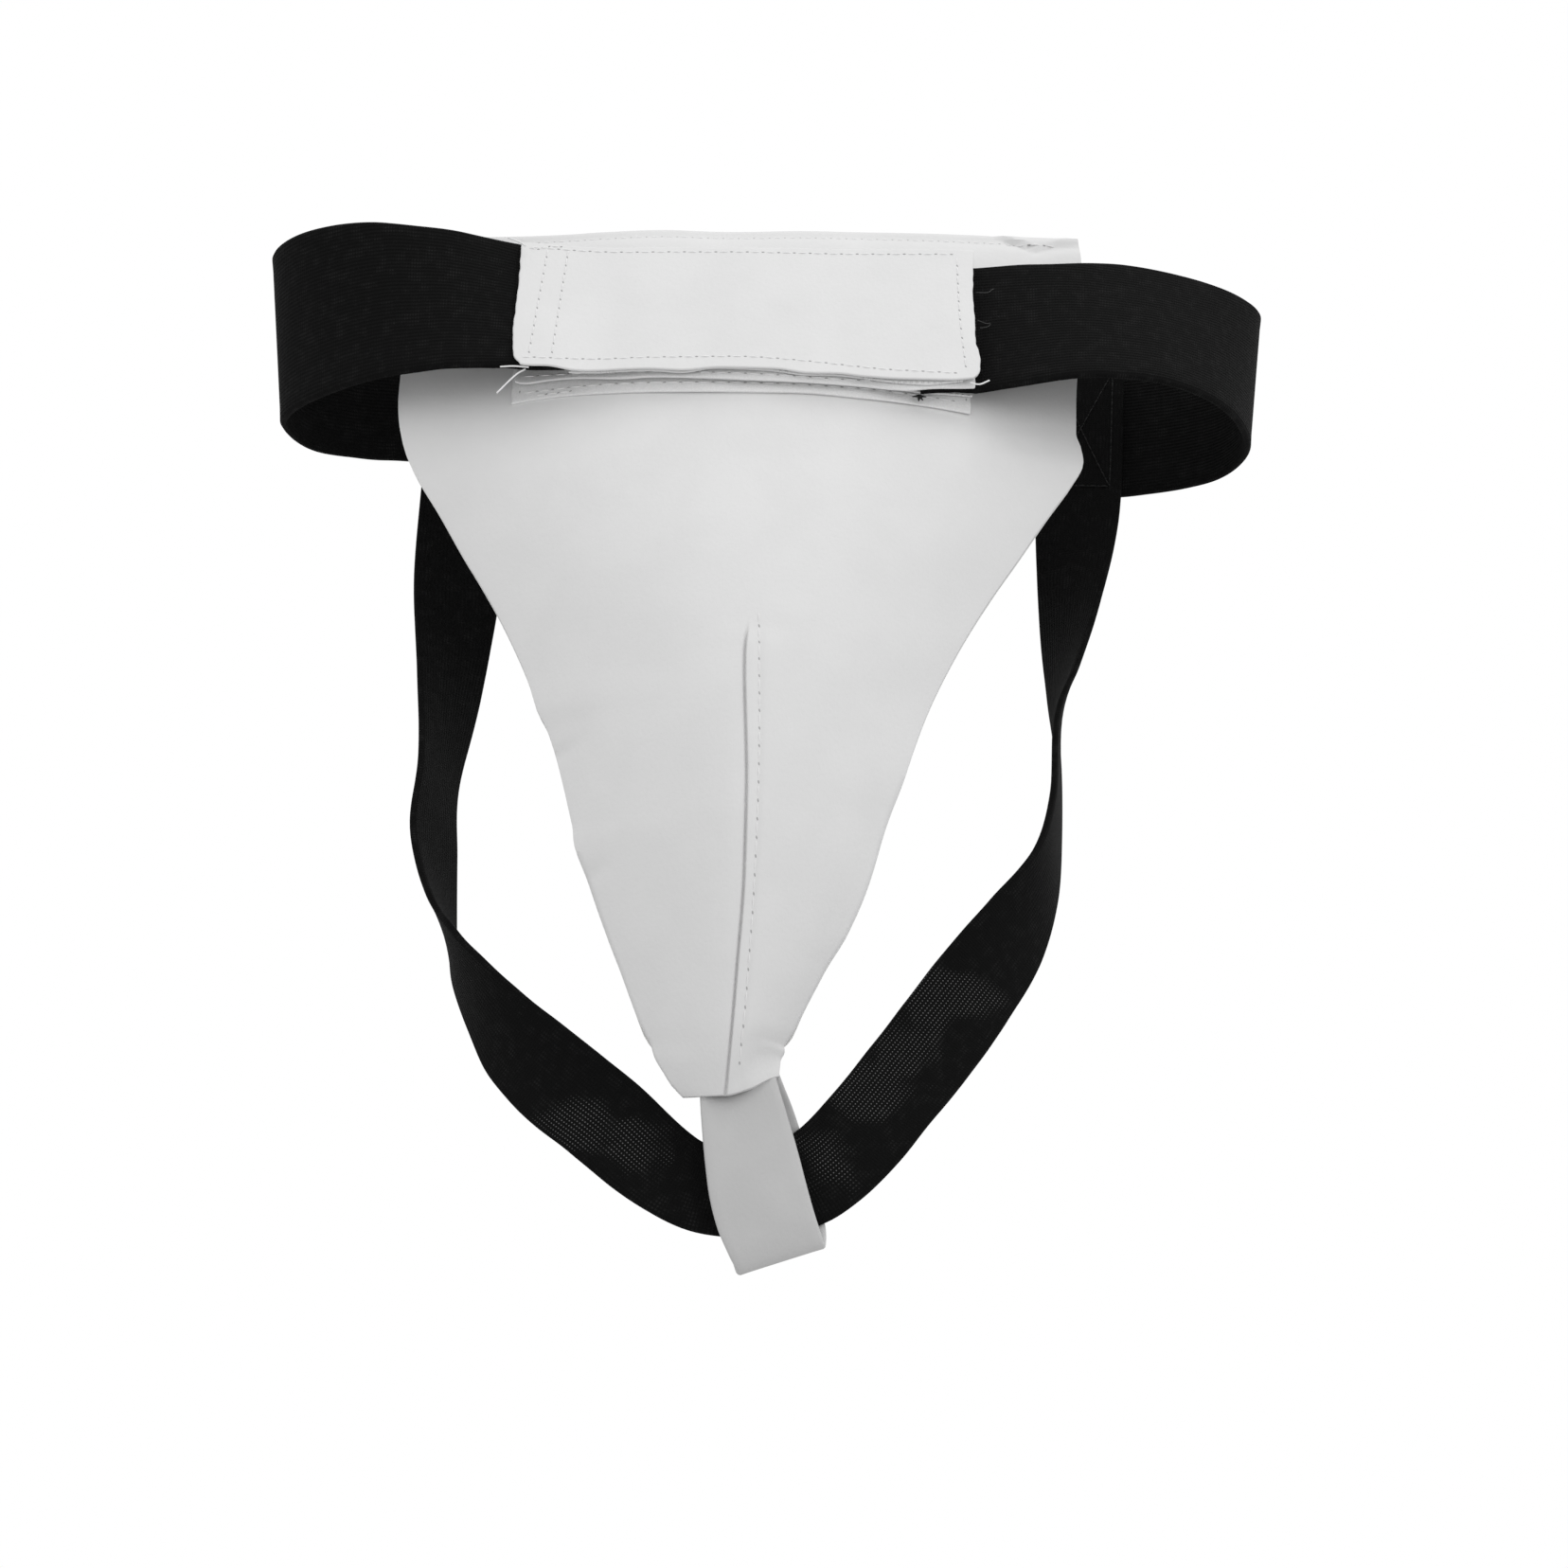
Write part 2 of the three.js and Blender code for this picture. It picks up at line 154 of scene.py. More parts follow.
def corner_grids(node, axis):
    """A CAD layer's corners as two grids, its front face and its back one, in rows along axis."""
    points = corners(node)
    points = points[np.argsort(points[:, axis], kind="stable")]
    row_ends = np.nonzero(np.diff(points[:, axis]) > 0.5 * MM)[0] + 1
    fronts, backs = [], []
    for row in np.split(points, row_ends):
        pairs = row[np.argsort(row[:, 2 - axis], kind="stable")].reshape(-1, 2, 3)
        depth_order = np.argsort(pairs[:, :, 1], axis=1)[:, :, None]
        pairs = np.take_along_axis(pairs, depth_order, axis=1)
        fronts.append(pairs[:, 0])
        backs.append(pairs[:, 1])
    return np.array(fronts), np.array(backs)


# ---- Meshes ----

def make_piece(name, points, faces, material, uv=None):
    mesh = bpy.data.meshes.new(name)
    mesh.from_pydata(points.reshape(-1, 3).tolist(), [], faces)
    if uv is not None:
        layer = mesh.uv_layers.new(name="metres")
        loops = np.zeros(len(mesh.loops), int)
        mesh.loops.foreach_get("vertex_index", loops)
        layer.data.foreach_set("uv", uv.reshape(-1, 2)[loops].astype(np.float32).ravel())
    mesh.materials.append(material)
    mesh.polygons.foreach_set("use_smooth", [True] * len(mesh.polygons))
    piece = bpy.data.objects.new(name, mesh)
    bpy.context.scene.collection.objects.link(piece)
    return piece


def apply_modifiers(piece):
    bpy.context.view_layer.update()
    shown = piece.evaluated_get(bpy.context.evaluated_depsgraph_get())
    mesh = bpy.data.meshes.new_from_object(shown)
    piece.modifiers.clear()
    piece.data = mesh


def round_edges(piece, width):
    bevel = piece.modifiers.new("round", "BEVEL")
    bevel.width = width
    bevel.segments = 3
    bevel.limit_method = "ANGLE"
    bevel.angle_limit = math.radians(50)
    apply_modifiers(piece)


def grid_faces(rows, columns, first=0, flip=False):
    index = np.arange(rows * columns).reshape(rows, columns) + first
    quads = np.stack([index[:-1, :-1], index[:-1, 1:], index[1:, 1:], index[1:, :-1]], axis=-1)
    quads = quads.reshape(-1, 4)
    return (quads[:, ::-1] if flip else quads).tolist()


def slab(name, front, back, uv, material, edge):
    """A closed sheet between a front grid and a back one, with edges rounded by edge."""
    rows, columns = front.shape[:2]
    count = rows * columns
    index = np.arange(count).reshape(rows, columns)
    border = np.concatenate([index[0, :-1], index[:-1, -1], index[-1, :0:-1], index[:0:-1, 0]])
    following = np.roll(border, -1)
    rim = np.stack([border, border + count, following + count, following], axis=-1)
    faces = grid_faces(rows, columns) + grid_faces(rows, columns, count, flip=True) + rim.tolist()
    points = np.concatenate([front.reshape(-1, 3), back.reshape(-1, 3)])
    piece = make_piece(name, points, faces, material, np.concatenate([uv, uv]))
    if edge:
        round_edges(piece, edge)
    return piece


# ---- Materials ----

class Shader:
    """A material's nodes, made one call at a time."""

    def __init__(self, name, base, roughness, specular):
        self.material = bpy.data.materials.new(name)
        self.material.use_nodes = True
        self.tree = self.material.node_tree
        self.skin = self.tree.nodes["Principled BSDF"]
        self.skin.inputs["Base Color"].default_value = (*base, 1)
        self.skin.inputs["Roughness"].default_value = roughness
        self.skin.inputs["Specular IOR Level"].default_value = specular

    def add(self, kind, inputs=(), **settings):
        made = self.tree.nodes.new("ShaderNode" + kind)
        for key, value in settings.items():
            setattr(made, key, value)
        for key, value in dict(inputs).items():
            self.put(value, made.inputs[key])
        return made

    def put(self, value, socket):
        if isinstance(value, bpy.types.NodeSocket):
            self.tree.links.new(value, socket)
        else:
            socket.default_value = value

    def math(self, operation, *values):
        return self.add("Math", enumerate(values), operation=operation).outputs[0]

    def place(self):
        """The point on the object, in metres."""
        return self.add("TexCoord").outputs["Object"]

    def along_across(self):
        """How far along a strip and across it, in metres."""
        parts = self.add("SeparateXYZ", {0: self.add("UVMap", uv_map="metres").outputs[0]})
        return parts.outputs[0], parts.outputs[1]

    def noise(self, size, detail=2.0, where=None):
        place = where or self.place()
        inputs = {"Vector": place, "Scale": 1 / size, "Detail": detail}
        return self.add("TexNoise", inputs).outputs["Fac"]

    def cells(self, size, feature="F1"):
        inputs = {"Vector": self.place(), "Scale": 1 / size}
        return self.add("TexVoronoi", inputs, feature=feature).outputs["Distance"]

    def ribs(self, distance, pitch):
        """0 to 1 waves of the given pitch."""
        wave = self.math("SINE", self.math("MULTIPLY", distance, 2 * math.pi / pitch))
        return self.math("MULTIPLY_ADD", wave, 0.5, 0.5)

    def ramp(self, value, low, high):
        """value taken from the range low to high, to 0 to 1."""
        inputs = {"Value": value, "From Min": low, "From Max": high}
        return self.add("MapRange", inputs, interpolation_type="SMOOTHSTEP").outputs[0]

    def mix(self, share, one, other):
        return self.mix_onto(share, (*one, 1), other)

    def mix_onto(self, share, colour, other):
        """other laid over a colour, or over what a node gives, by share."""
        made = self.add("Mix", data_type="RGBA")
        self.put(share, made.inputs[0])
        self.put(colour, made.inputs[6])
        self.put((*other, 1), made.inputs[7])
        return made.outputs[2]

    def colour(self, value):
        self.put(value, self.skin.inputs["Base Color"])

    def roughness(self, value, low, high):
        inputs = {"Value": value, "To Min": low, "To Max": high}
        self.put(self.add("MapRange", inputs).outputs[0], self.skin.inputs["Roughness"])

    def bump(self, *heights):
        """Each height is (0 to 1 value, its depth in metres)."""
        normal = None
        for value, depth in heights:
            inputs = {"Height": value, "Distance": depth, "Strength": 1.0}
            if normal:
                inputs["Normal"] = normal
            normal = self.add("Bump", inputs).outputs[0]
        self.put(normal, self.skin.inputs["Normal"])


def leather(name, bright, dull):
    """Smooth leather-look sheet: a faint pebble grain, soft mottling and a low sheen."""
    shader = Shader(name, bright, 0.45, 0.35)
    mottle = shader.ramp(shader.noise(14 * MM, 3.0), 0.3, 0.7)
    shader.colour(shader.mix(mottle, dull, bright))
    shader.roughness(shader.noise(3 * MM), 0.42, 0.56)
    shader.bump(
        (shader.cells(0.9 * MM, "SMOOTH_F1"), 0.035 * MM),
        (shader.noise(0.35 * MM), 0.02 * MM),
        (shader.noise(9 * MM), 0.12 * MM),
    )
    return shader.material


# Where the leg elastic is stretched thin, as (x, y, z, radius) in millimetres.
OPEN_PATCHES = [
    (-29, -8, -181, 6), (-19, -9, -185, 4.5), (29, -7, -170, 7.5), (34, -6, -162, 6),
    (43, -3, -151, 5.5), (51, 0, -150, 4), (19.5, -10, -184, 3), (22.5, -10.5, -190, 3),
]


def elastic(name, base, open_weave):
    """Black woven elastic: lengthwise ribs crossed by a finer weave, with paler threads: partly wear in
    random patches, partly a painted highlight on the raised crossings.
    open_weave lets rows of small pale gaps show in the OPEN_PATCHES."""
    shader = Shader(name, grey(base), 0.85, 0.08)
    along, across = shader.along_across()
    rib = shader.ribs(across, 0.85 * MM)
    weft = shader.ribs(along, 0.6 * MM)
    thread = shader.math("MULTIPLY", rib, weft)
    worn = shader.ramp(shader.noise(2.5 * MM, 4.0), 0.45, 0.75)
    pale = shader.math("MULTIPLY", thread, worn)
    # pale is partly wear in random patches and partly a painted highlight where the rib and weft bumps peak.
    colour = shader.mix(pale, grey(0.7 * base), grey(3.2 * base))
    if open_weave:
        gaps = shader.math(
            "MULTIPLY",
            shader.ramp(shader.ribs(across, 0.85 * MM), 0.7, 0.95),
            shader.ramp(shader.ribs(along, 0.7 * MM), 0.6, 0.95),
        )
        patches = 0.0
        for x, y, z, radius in OPEN_PATCHES:
            ends = {0: shader.place(), 1: (x * MM, y * MM, z * MM)}
            away = shader.add("VectorMath", ends, operation="DISTANCE").outputs["Value"]
            ragged = shader.math("MULTIPLY_ADD", shader.noise(7 * MM, 1.0), 14 * MM, away)
            patch = shader.ramp(ragged, (radius + 10.5) * MM, (radius + 5) * MM)
            patches = shader.math("ADD", patches, patch)
        shown = shader.math("MULTIPLY", gaps, shader.math("MINIMUM", patches, 1.0))
        colour = shader.mix_onto(shown, colour, grey(0.13))
    shader.colour(colour)
    shader.bump((rib, 0.12 * MM), (weft, 0.05 * MM), (shader.noise(0.3 * MM), 0.05 * MM))
    return shader.material


def loop_tape(name):
    """White loop tape: a mat of fine curled loops."""
    shader = Shader(name, grey(0.7), 0.9, 0.2)
    curls = shader.noise(0.4 * MM, 4.0)
    shader.colour(shader.mix(shader.ramp(curls, 0.3, 0.7), grey(0.73), grey(0.79)))
    shader.skin.inputs["Sheen Weight"].default_value = 0.2
    shader.bump((curls, 0.08 * MM), (shader.noise(2 * MM), 0.08 * MM))
    return shader.material


def hook_tape(name):
    """White hook tape: rows of tiny stiff hooks on a woven ground."""
    shader = Shader(name, grey(0.7), 0.5, 0.4)
    along, across = shader.along_across()
    hook = shader.math("MULTIPLY", shader.ribs(along, 1.3 * MM), shader.ribs(across, 1.0 * MM))
    hook = shader.ramp(hook, 0.4, 0.9)
    shader.colour(shader.mix(hook, grey(0.72), grey(0.8)))
    shader.bump((hook, 0.2 * MM), (shader.noise(0.25 * MM), 0.03 * MM))
    return shader.material


def lining_cloth(name):
    """White warp-knit lining with a soft brushed face."""
    shader = Shader(name, (0.66, 0.66, 0.65), 0.9, 0.15)
    along, across = shader.along_across()
    knit = shader.math("MULTIPLY", shader.ribs(along, 0.9 * MM), shader.ribs(across, 1.1 * MM))
    fuzz = shader.noise(1.4 * MM, 4.0)
    shader.colour(shader.mix(fuzz, (0.58, 0.58, 0.57), (0.72, 0.72, 0.71)))
    shader.skin.inputs["Sheen Weight"].default_value = 0.25
    shader.bump((knit, 0.08 * MM), (fuzz, 0.1 * MM))
    return shader.material


def foam(name):
    """Open-cell foam."""
    shader = Shader(name, (0.62, 0.6, 0.54), 0.95, 0.1)
    pores = shader.cells(0.8 * MM)
    shader.colour(shader.mix(shader.ramp(pores, 0.1, 0.7), (0.45, 0.43, 0.38), (0.66, 0.64, 0.58)))
    shader.bump((pores, 0.3 * MM))
    return shader.material


def moulded_plastic(name):
    """White moulded plastic with a faint orange peel."""
    shader = Shader(name, (0.8, 0.8, 0.77), 0.3, 0.5)
    shader.roughness(shader.noise(4 * MM), 0.25, 0.4)
    cloud = shader.noise(25 * MM)
    shader.colour(shader.mix(cloud, (0.77, 0.77, 0.74), (0.82, 0.82, 0.8)))
    shader.bump((shader.noise(1.2 * MM), 0.02 * MM))
    return shader.material


def thread(name, colour):
    """Twisted sewing thread."""
    shader = Shader(name, colour, 0.6, 0.3)
    twist = shader.noise(0.15 * MM)
    darker = tuple(0.9 * part for part in colour)
    shader.colour(shader.mix(twist, darker, colour))
    shader.bump((twist, 0.015 * MM))
    return shader.material


def needle_hole(name):
    """The shaded leather pulled in round a needle hole."""
    shader = Shader(name, grey(0.3), 0.8, 0.1)
    shader.colour(shader.mix(shader.noise(0.3 * MM), grey(0.34), grey(0.46)))
    return shader.material


WHITE_LEATHER = leather("white_leather", grey(0.71), grey(0.69))
# The tab is the white leather painted darker: painted shade for the tab, which faces down, away from the
# light.
TAB_LEATHER_PAINTED_SHADE = leather("tab_leather", grey(0.5), grey(0.47))
WAIST_ELASTIC = elastic("waist_elastic_weave", 0.0054, open_weave=False)
LEG_ELASTIC = elastic("leg_elastic_weave", 0.0048, open_weave=True)
LOOP_TAPE = loop_tape("loop_tape")
HOOK_TAPE = hook_tape("hook_tape")
LINING = lining_cloth("lining_cloth")
FOAM = foam("open_cell_foam")
CUP_PLASTIC = moulded_plastic("cup_plastic")
WHITE_THREAD = thread("white_thread", grey(0.84))
BLACK_THREAD = thread("black_thread", grey(0.006))
GREY_FIBRE = thread("grey_fibre", grey(0.12))
NEEDLE_HOLE = needle_hole("needle_hole")


# ---- Camera, light and floor ----

LENS = 60.0  # millimetres
SENSOR = 36  # millimetres wide
LOOK_UP = math.radians(20)  # the camera is below the object and looks up at it
ROLL = math.radians(1)
CAMERA_DISTANCE = 578.6 * MM
AIM_FROM_MIDDLE = Vector((4.3, 13.2, -8.6)) * MM
FLOOR_HALF = 3.0
FLOOR_HEIGHT = -0.42


def make_camera():
    aim = (cad_low + cad_high) / 2 + AIM_FROM_MIDDLE
    ahead = Vector((0, math.cos(LOOK_UP), math.sin(LOOK_UP)))
    camera = bpy.data.objects.new("camera", bpy.data.cameras.new("camera"))
    camera.data.lens = LENS
    camera.data.sensor_width = SENSOR
    camera.data.clip_start = 0.01
    camera.location = aim - CAMERA_DISTANCE * ahead
    camera.rotation_mode = "QUATERNION"
    camera.rotation_quaternion = ahead.to_track_quat("-Z", "Y") @ Quaternion((0, 0, 1), ROLL)
    bpy.context.scene.collection.objects.link(camera)
    bpy.context.scene.camera = camera


def area_light(name, place, aim, size, power):
    lamp = bpy.data.lights.new(name, "AREA")
    lamp.shape = "DISK"
    lamp.size = size
    lamp.energy = power
    made = bpy.data.objects.new(name, lamp)
    made.location = place
    made.rotation_euler = (Vector(aim) - Vector(place)).to_track_quat("-Z", "Y").to_euler()
    bpy.context.scene.collection.objects.link(made)


def make_floor():
    """A plain pale floor, well below the guard, which hangs as it does when worn."""
    square = [(-1, -1), (1, -1), (1, 1), (-1, 1)]
    points = np.array([[FLOOR_HALF * x, FLOOR_HALF * y, FLOOR_HEIGHT] for x, y in square])
    shader = Shader("floor", grey(0.66), 0.9, 0.1)
    shader.colour(shader.mix(shader.noise(0.5), grey(0.65), grey(0.67)))
    floor = make_piece("floor", points, [[0, 1, 2, 3]], shader.material)


def make_world():
    world = bpy.data.worlds.new("studio")
    world.use_nodes = True
    background = world.node_tree.nodes["Background"]
    background.inputs["Color"].default_value = (1, 1, 1, 1)
    background.inputs["Strength"].default_value = 1.0
    bpy.context.scene.world = world
    bpy.context.scene.view_settings.view_transform = "Standard"


make_camera()
make_world()
make_floor()
area_light("key", (0.25, -0.35, 0.7), (0, 0, -0.05), 0.6, 1.2)
area_light("fill", (0.55, -0.75, 0), (0, 0, -0.08), 0.7, 0.7)


# ---- Stitching ----

THREAD_WIDTH = 0.32 * MM
STITCH_PITCH = 3.55 * MM
STITCH_GAP = 0.14  # of the pitch, left free at each end of a stitch
STITCH_ARCH = 0.2 * MM
STITCH_SUNK = 0.13 * MM
HOLE_RADIUS = 0.2 * MM
HOLE_SUNK = 0.08 * MM
TO_FRONT = np.array([0, -1, 0])


def tube(line, radii, up, sides=6):
    """A closed tube along a line of points: its points and its faces."""
    ahead = unit(np.gradient(line, axis=0))
    aside = unit(np.cross(up, ahead))
    over = np.cross(ahead, aside)
    turns = np.linspace(0, 2 * math.pi, sides, endpoint=False)[None, :, None]
    rings = np.cos(turns) * aside[:, None] + np.sin(turns) * over[:, None]
    points = line[:, None] + np.asarray(radii)[:, None, None] * rings
    count = len(line)
    index = np.arange(count * sides).reshape(count, sides)
    after = np.roll(index, -1, axis=1)
    faces = np.stack([index[:-1], after[:-1], after[1:], index[1:]], axis=-1).reshape(-1, 4).tolist()
    faces += [index[0, ::-1].tolist(), index[-1].tolist()]
    return points.reshape(-1, 3), faces


def make_tubes(name, tubes, material):
    """Many tubes as one piece."""
    points, faces, first = [], [], 0
    for some_points, some_faces in tubes:
        points.append(some_points)
        faces += [[first + corner for corner in face] for face in some_faces]
        first += len(some_points)
    return make_piece(name, np.concatenate(points), faces, material)


def stitch_row(
    name, line, out, body, pitch=STITCH_PITCH, colour=None, slant=0.0, hole=0.45 * MM
):
    """Stitches along a line of points that lie on a surface facing out. Each is a short arched
    thread between two needle holes. hole is a hole's half length, turned slant radians."""
    steps = np.linalg.norm(np.diff(line, axis=0), axis=1)
    run = np.concatenate([[0], np.cumsum(steps)])

    def at(distance, values):
        return np.array([np.interp(distance, run, values[:, k]) for k in range(3)])

    threads, holes = [], []
    arch = np.linspace(0, 1, 7)
    for i in range(max(int(run[-1] / pitch), 1)):
        start = at((i + STITCH_GAP) * pitch, line)
        end = at((i + 1 - STITCH_GAP) * pitch, line)
        up = unit(at((i + 0.5) * pitch, out))
        lift = np.sin(arch * math.pi) * STITCH_ARCH - STITCH_SUNK
        middle = start + (end - start) * arch[:, None] + up * lift[:, None]
        radii = THREAD_WIDTH / 2 * (0.55 + 0.45 * np.sin(arch * math.pi))
        threads.append(tube(middle, radii, up))
        ahead = unit(end - start)
        long_way = math.cos(slant) * ahead + math.sin(slant) * np.cross(up, ahead)
        centre = at((i + 1) * pitch, line)
        along_hole = np.linspace(-1, 1, 5)
        dent = centre + hole * along_hole[:, None] * long_way - HOLE_SUNK * up
        holes.append(tube(dent, HOLE_RADIUS * (1.05 - along_hole**2 * 0.8), up, sides=8))
    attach(make_tubes(name, threads, colour or WHITE_THREAD), body)
    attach(make_tubes(name + "_holes", holes, colour or NEEDLE_HOLE), body)


def line_on(place, xs, zs):
    """A line of points on a surface given by place(x, z), with the way it faces at each."""
    step = 0.5 * MM
    sideways = place(xs + step, zs) - place(xs - step, zs)
    upwards = place(xs, zs + step) - place(xs, zs - step)
    out = unit(np.cross(sideways, upwards))
    return place(xs, zs), out


# ---- The shell: a padded cover, its lining, and what is between them ----

cover_front, cover_back = corner_grids("front_cover", axis=2)
lining_front, lining_back = corner_grids("back_lining", axis=2)
SHELL_TOP = cover_front[-1, 0, 2]
SHELL_BOTTOM = cover_front[0, 0, 2]
FOOT = SHELL_BOTTOM / MM
DART_TOP = -81.5 * MM
# The dart's fold and its seam, as [height, x] in millimetres.
DART_FOLD = mm([
    [FOOT, -0.1], [-156, 1.6], [-133, 2.9], [-118, 3], [-88.5, 2], [DART_TOP / MM, 2.4],
])
DART_STITCHES = mm([
    [FOOT, 2], [-158, 3.9], [-137, 4.9], [-115, 5.4], [-78, 4.7],
])


def half_width(z):
    return line_through(np.stack([cover_front[:, -1, 2], cover_front[:, -1, 0]], axis=-1), z)


def shell_rows(z, count):
    """The fractional row, of count evenly spaced ones, at each height z."""
    return (z - SHELL_BOTTOM) / (SHELL_TOP - SHELL_BOTTOM) * (count - 1)


def on_shell(grid, x, z):
    """Points of a shell layer's grid at the given x and z."""
    rows = shell_rows(z, grid.shape[0])
    columns = (np.clip(x / half_width(z), -1, 1) + 1) / 2 * (grid.shape[1] - 1)
    return surface(grid, rows, columns)


def shell_grid(heights, shares):
    """x and z at each height and each share from -1 at the left edge, 0 at the dart's fold, to 1."""
    dart = line_through(DART_FOLD, heights)[:, None]
    edge = half_width(heights)[:, None]
    x = np.where(shares < 0, dart + shares * (edge + dart), dart + shares * (edge - dart))
    return x, np.repeat(heights[:, None], len(shares), axis=1)


# How far the cover's left and right edges stand off the plain outline, as
# [height, x] in millimetres.
LEFT_EDGE = mm([
    [FOOT, -2.5], [FOOT + 2, -2.9], [FOOT + 4, -2.6], [FOOT + 8, -2.1], [-167, -1.8], [-159, -1.4],
    [-148, -0.3], [-132, -0.5], [-124.5, -1.1], [-120, -0.3], [-108, 0.2], [-99, 0], [-94, -0.9],
    [-86, -0.4], [-60, -0.3], [-45, 0.1], [-28, -0.3], [-17, -0.9], [-4, -0.5], [30, 0],
])
RIGHT_EDGE = mm([
    [FOOT, 4.1], [FOOT + 2, 2.3], [FOOT + 4, 0.5], [FOOT + 8, -1.5], [-167, -2.4], [-150, -2.9],
    [-142, -1.6], [-132, -1], [-118, -1.6], [-106, -1], [-90, -0.9], [-70, -0.5], [-45, 0], [-36, 0.6],
    [-32, 1.1], [-27, -0.4], [-23, -2], [-16, -2.1], [-5, -1.5], [10, -0.3], [16, 0.4], [30, 1],
])
# How far its top edge stands off straight, as [x, height] in millimetres.
TOP_EDGE = mm([
    [-76, -2.3], [-59, -2.1], [-42, -1.6], [-33, -0.9], [-20, -0.2], [-6.7, -0.6], [13, 0.1], [40, 0.3],
    [60, 0.5], [76, 0.8],
])
# How far its foot is lifted off straight: it slants up on the right of the dart.
FOOT_EDGE = mm([
    [-14, 5], [-10.8, 3.1], [-8, 1.9], [-4, 1.3], [0, 1.2], [3, 2.7], [6.5, 6.1], [10.5, 7], [14, 6.8],
])


def hand_cut(points, x, z, tuck=0.0):
    """Moves a shell layer's points from its plain outline to its real, slightly uneven one. The
    layers behind the cover end short of its foot by tuck."""
    share = x / half_width(z)
    shift = line_through(LEFT_EDGE, z) * (share < 0) + line_through(RIGHT_EDGE, z) * (share > 0)
    points[..., 0] += shift * np.abs(share) ** 1.5
    near_top = smoothstep(SHELL_TOP - 14 * MM, SHELL_TOP, z)
    near_foot = smoothstep(SHELL_BOTTOM + 16 * MM, SHELL_BOTTOM, z)
    points[..., 2] += near_top * line_through(TOP_EDGE, x) + near_foot * (line_through(FOOT_EDGE, x) + tuck)
    return points


CLOSURE_FOOT = -26 * MM
CLOSURE_HALF_WIDTH = 58 * MM
MOST_SWELL = 2.2 * MM
CLOTH_FRAMES = 20
CLOTH = {
    "quality": 6, "mass": 0.3, "tension_stiffness": 60, "compression_stiffness": 30,
    "shear_stiffness": 20, "bending_stiffness": 4, "use_pressure": True,
    "uniform_pressure_force": 4, "vertex_group_mass": "held",
}


def swell_by_cloth(heights, shares):
    """How far the padded front swells at a coarse grid of points, from a short cloth simulation
    of the closed pad, held along its edges, its dart and under the closure."""
    x, z = shell_grid(heights, shares)
    front = on_shell(cover_front, x, z)
    back = front + np.array([0, 5 * MM, 0])
    pad = slab("pad_in_cloth", front, back, np.zeros((*z.shape, 2)), WHITE_LEATHER, 0)
    held = np.zeros(z.shape, bool)
    held[0] = held[-1] = True
    held[:, 0] = held[:, -1] = True
    held |= (np.abs(shares)[None, :] < 1e-6) & (z < DART_TOP)
    held |= (z > CLOSURE_FOOT) & (np.abs(x) < CLOSURE_HALF_WIDTH)
    count = held.size
    group = pad.vertex_groups.new(name="held")
    group.add(np.nonzero(held.ravel())[0].tolist(), 1.0, "REPLACE")
    group.add(list(range(count, 2 * count)), 1.0, "REPLACE")
    cloth = pad.modifiers.new("cloth", "CLOTH")
    cloth.settings.effector_weights.gravity = 0
    for setting, value in CLOTH.items():
        setattr(cloth.settings, setting, value)
    scene = bpy.context.scene
    for step in range(1, CLOTH_FRAMES + 1):
        scene.frame_set(step)
    shown = pad.evaluated_get(bpy.context.evaluated_depsgraph_get())
    moved = np.array([v.co for v in shown.data.vertices])[:count].reshape(front.shape)
    scene.frame_set(1)
    bpy.data.objects.remove(pad)
    swell = moved - front
    far = np.linalg.norm(swell, axis=-1, keepdims=True)
    return swell * np.minimum(1, MOST_SWELL / np.maximum(far, 1e-9))


PAD_HEIGHTS = np.linspace(SHELL_BOTTOM, SHELL_TOP, 44)
PAD_SHARES = np.linspace(-1, 1, 31)
swell = swell_by_cloth(PAD_HEIGHTS, PAD_SHARES)
# Creases in from the left edge, as (x, height), and the V-shaped folds of the top right corner,
# as (middle x, reach, depth), all in millimetres.
EDGE_CREASES = [(-38.4, -105), (-30.5, -131.4)]
CORNER_FOLDS = [(62, 5.5, 0.75), (70.5, 5, 0.65)]


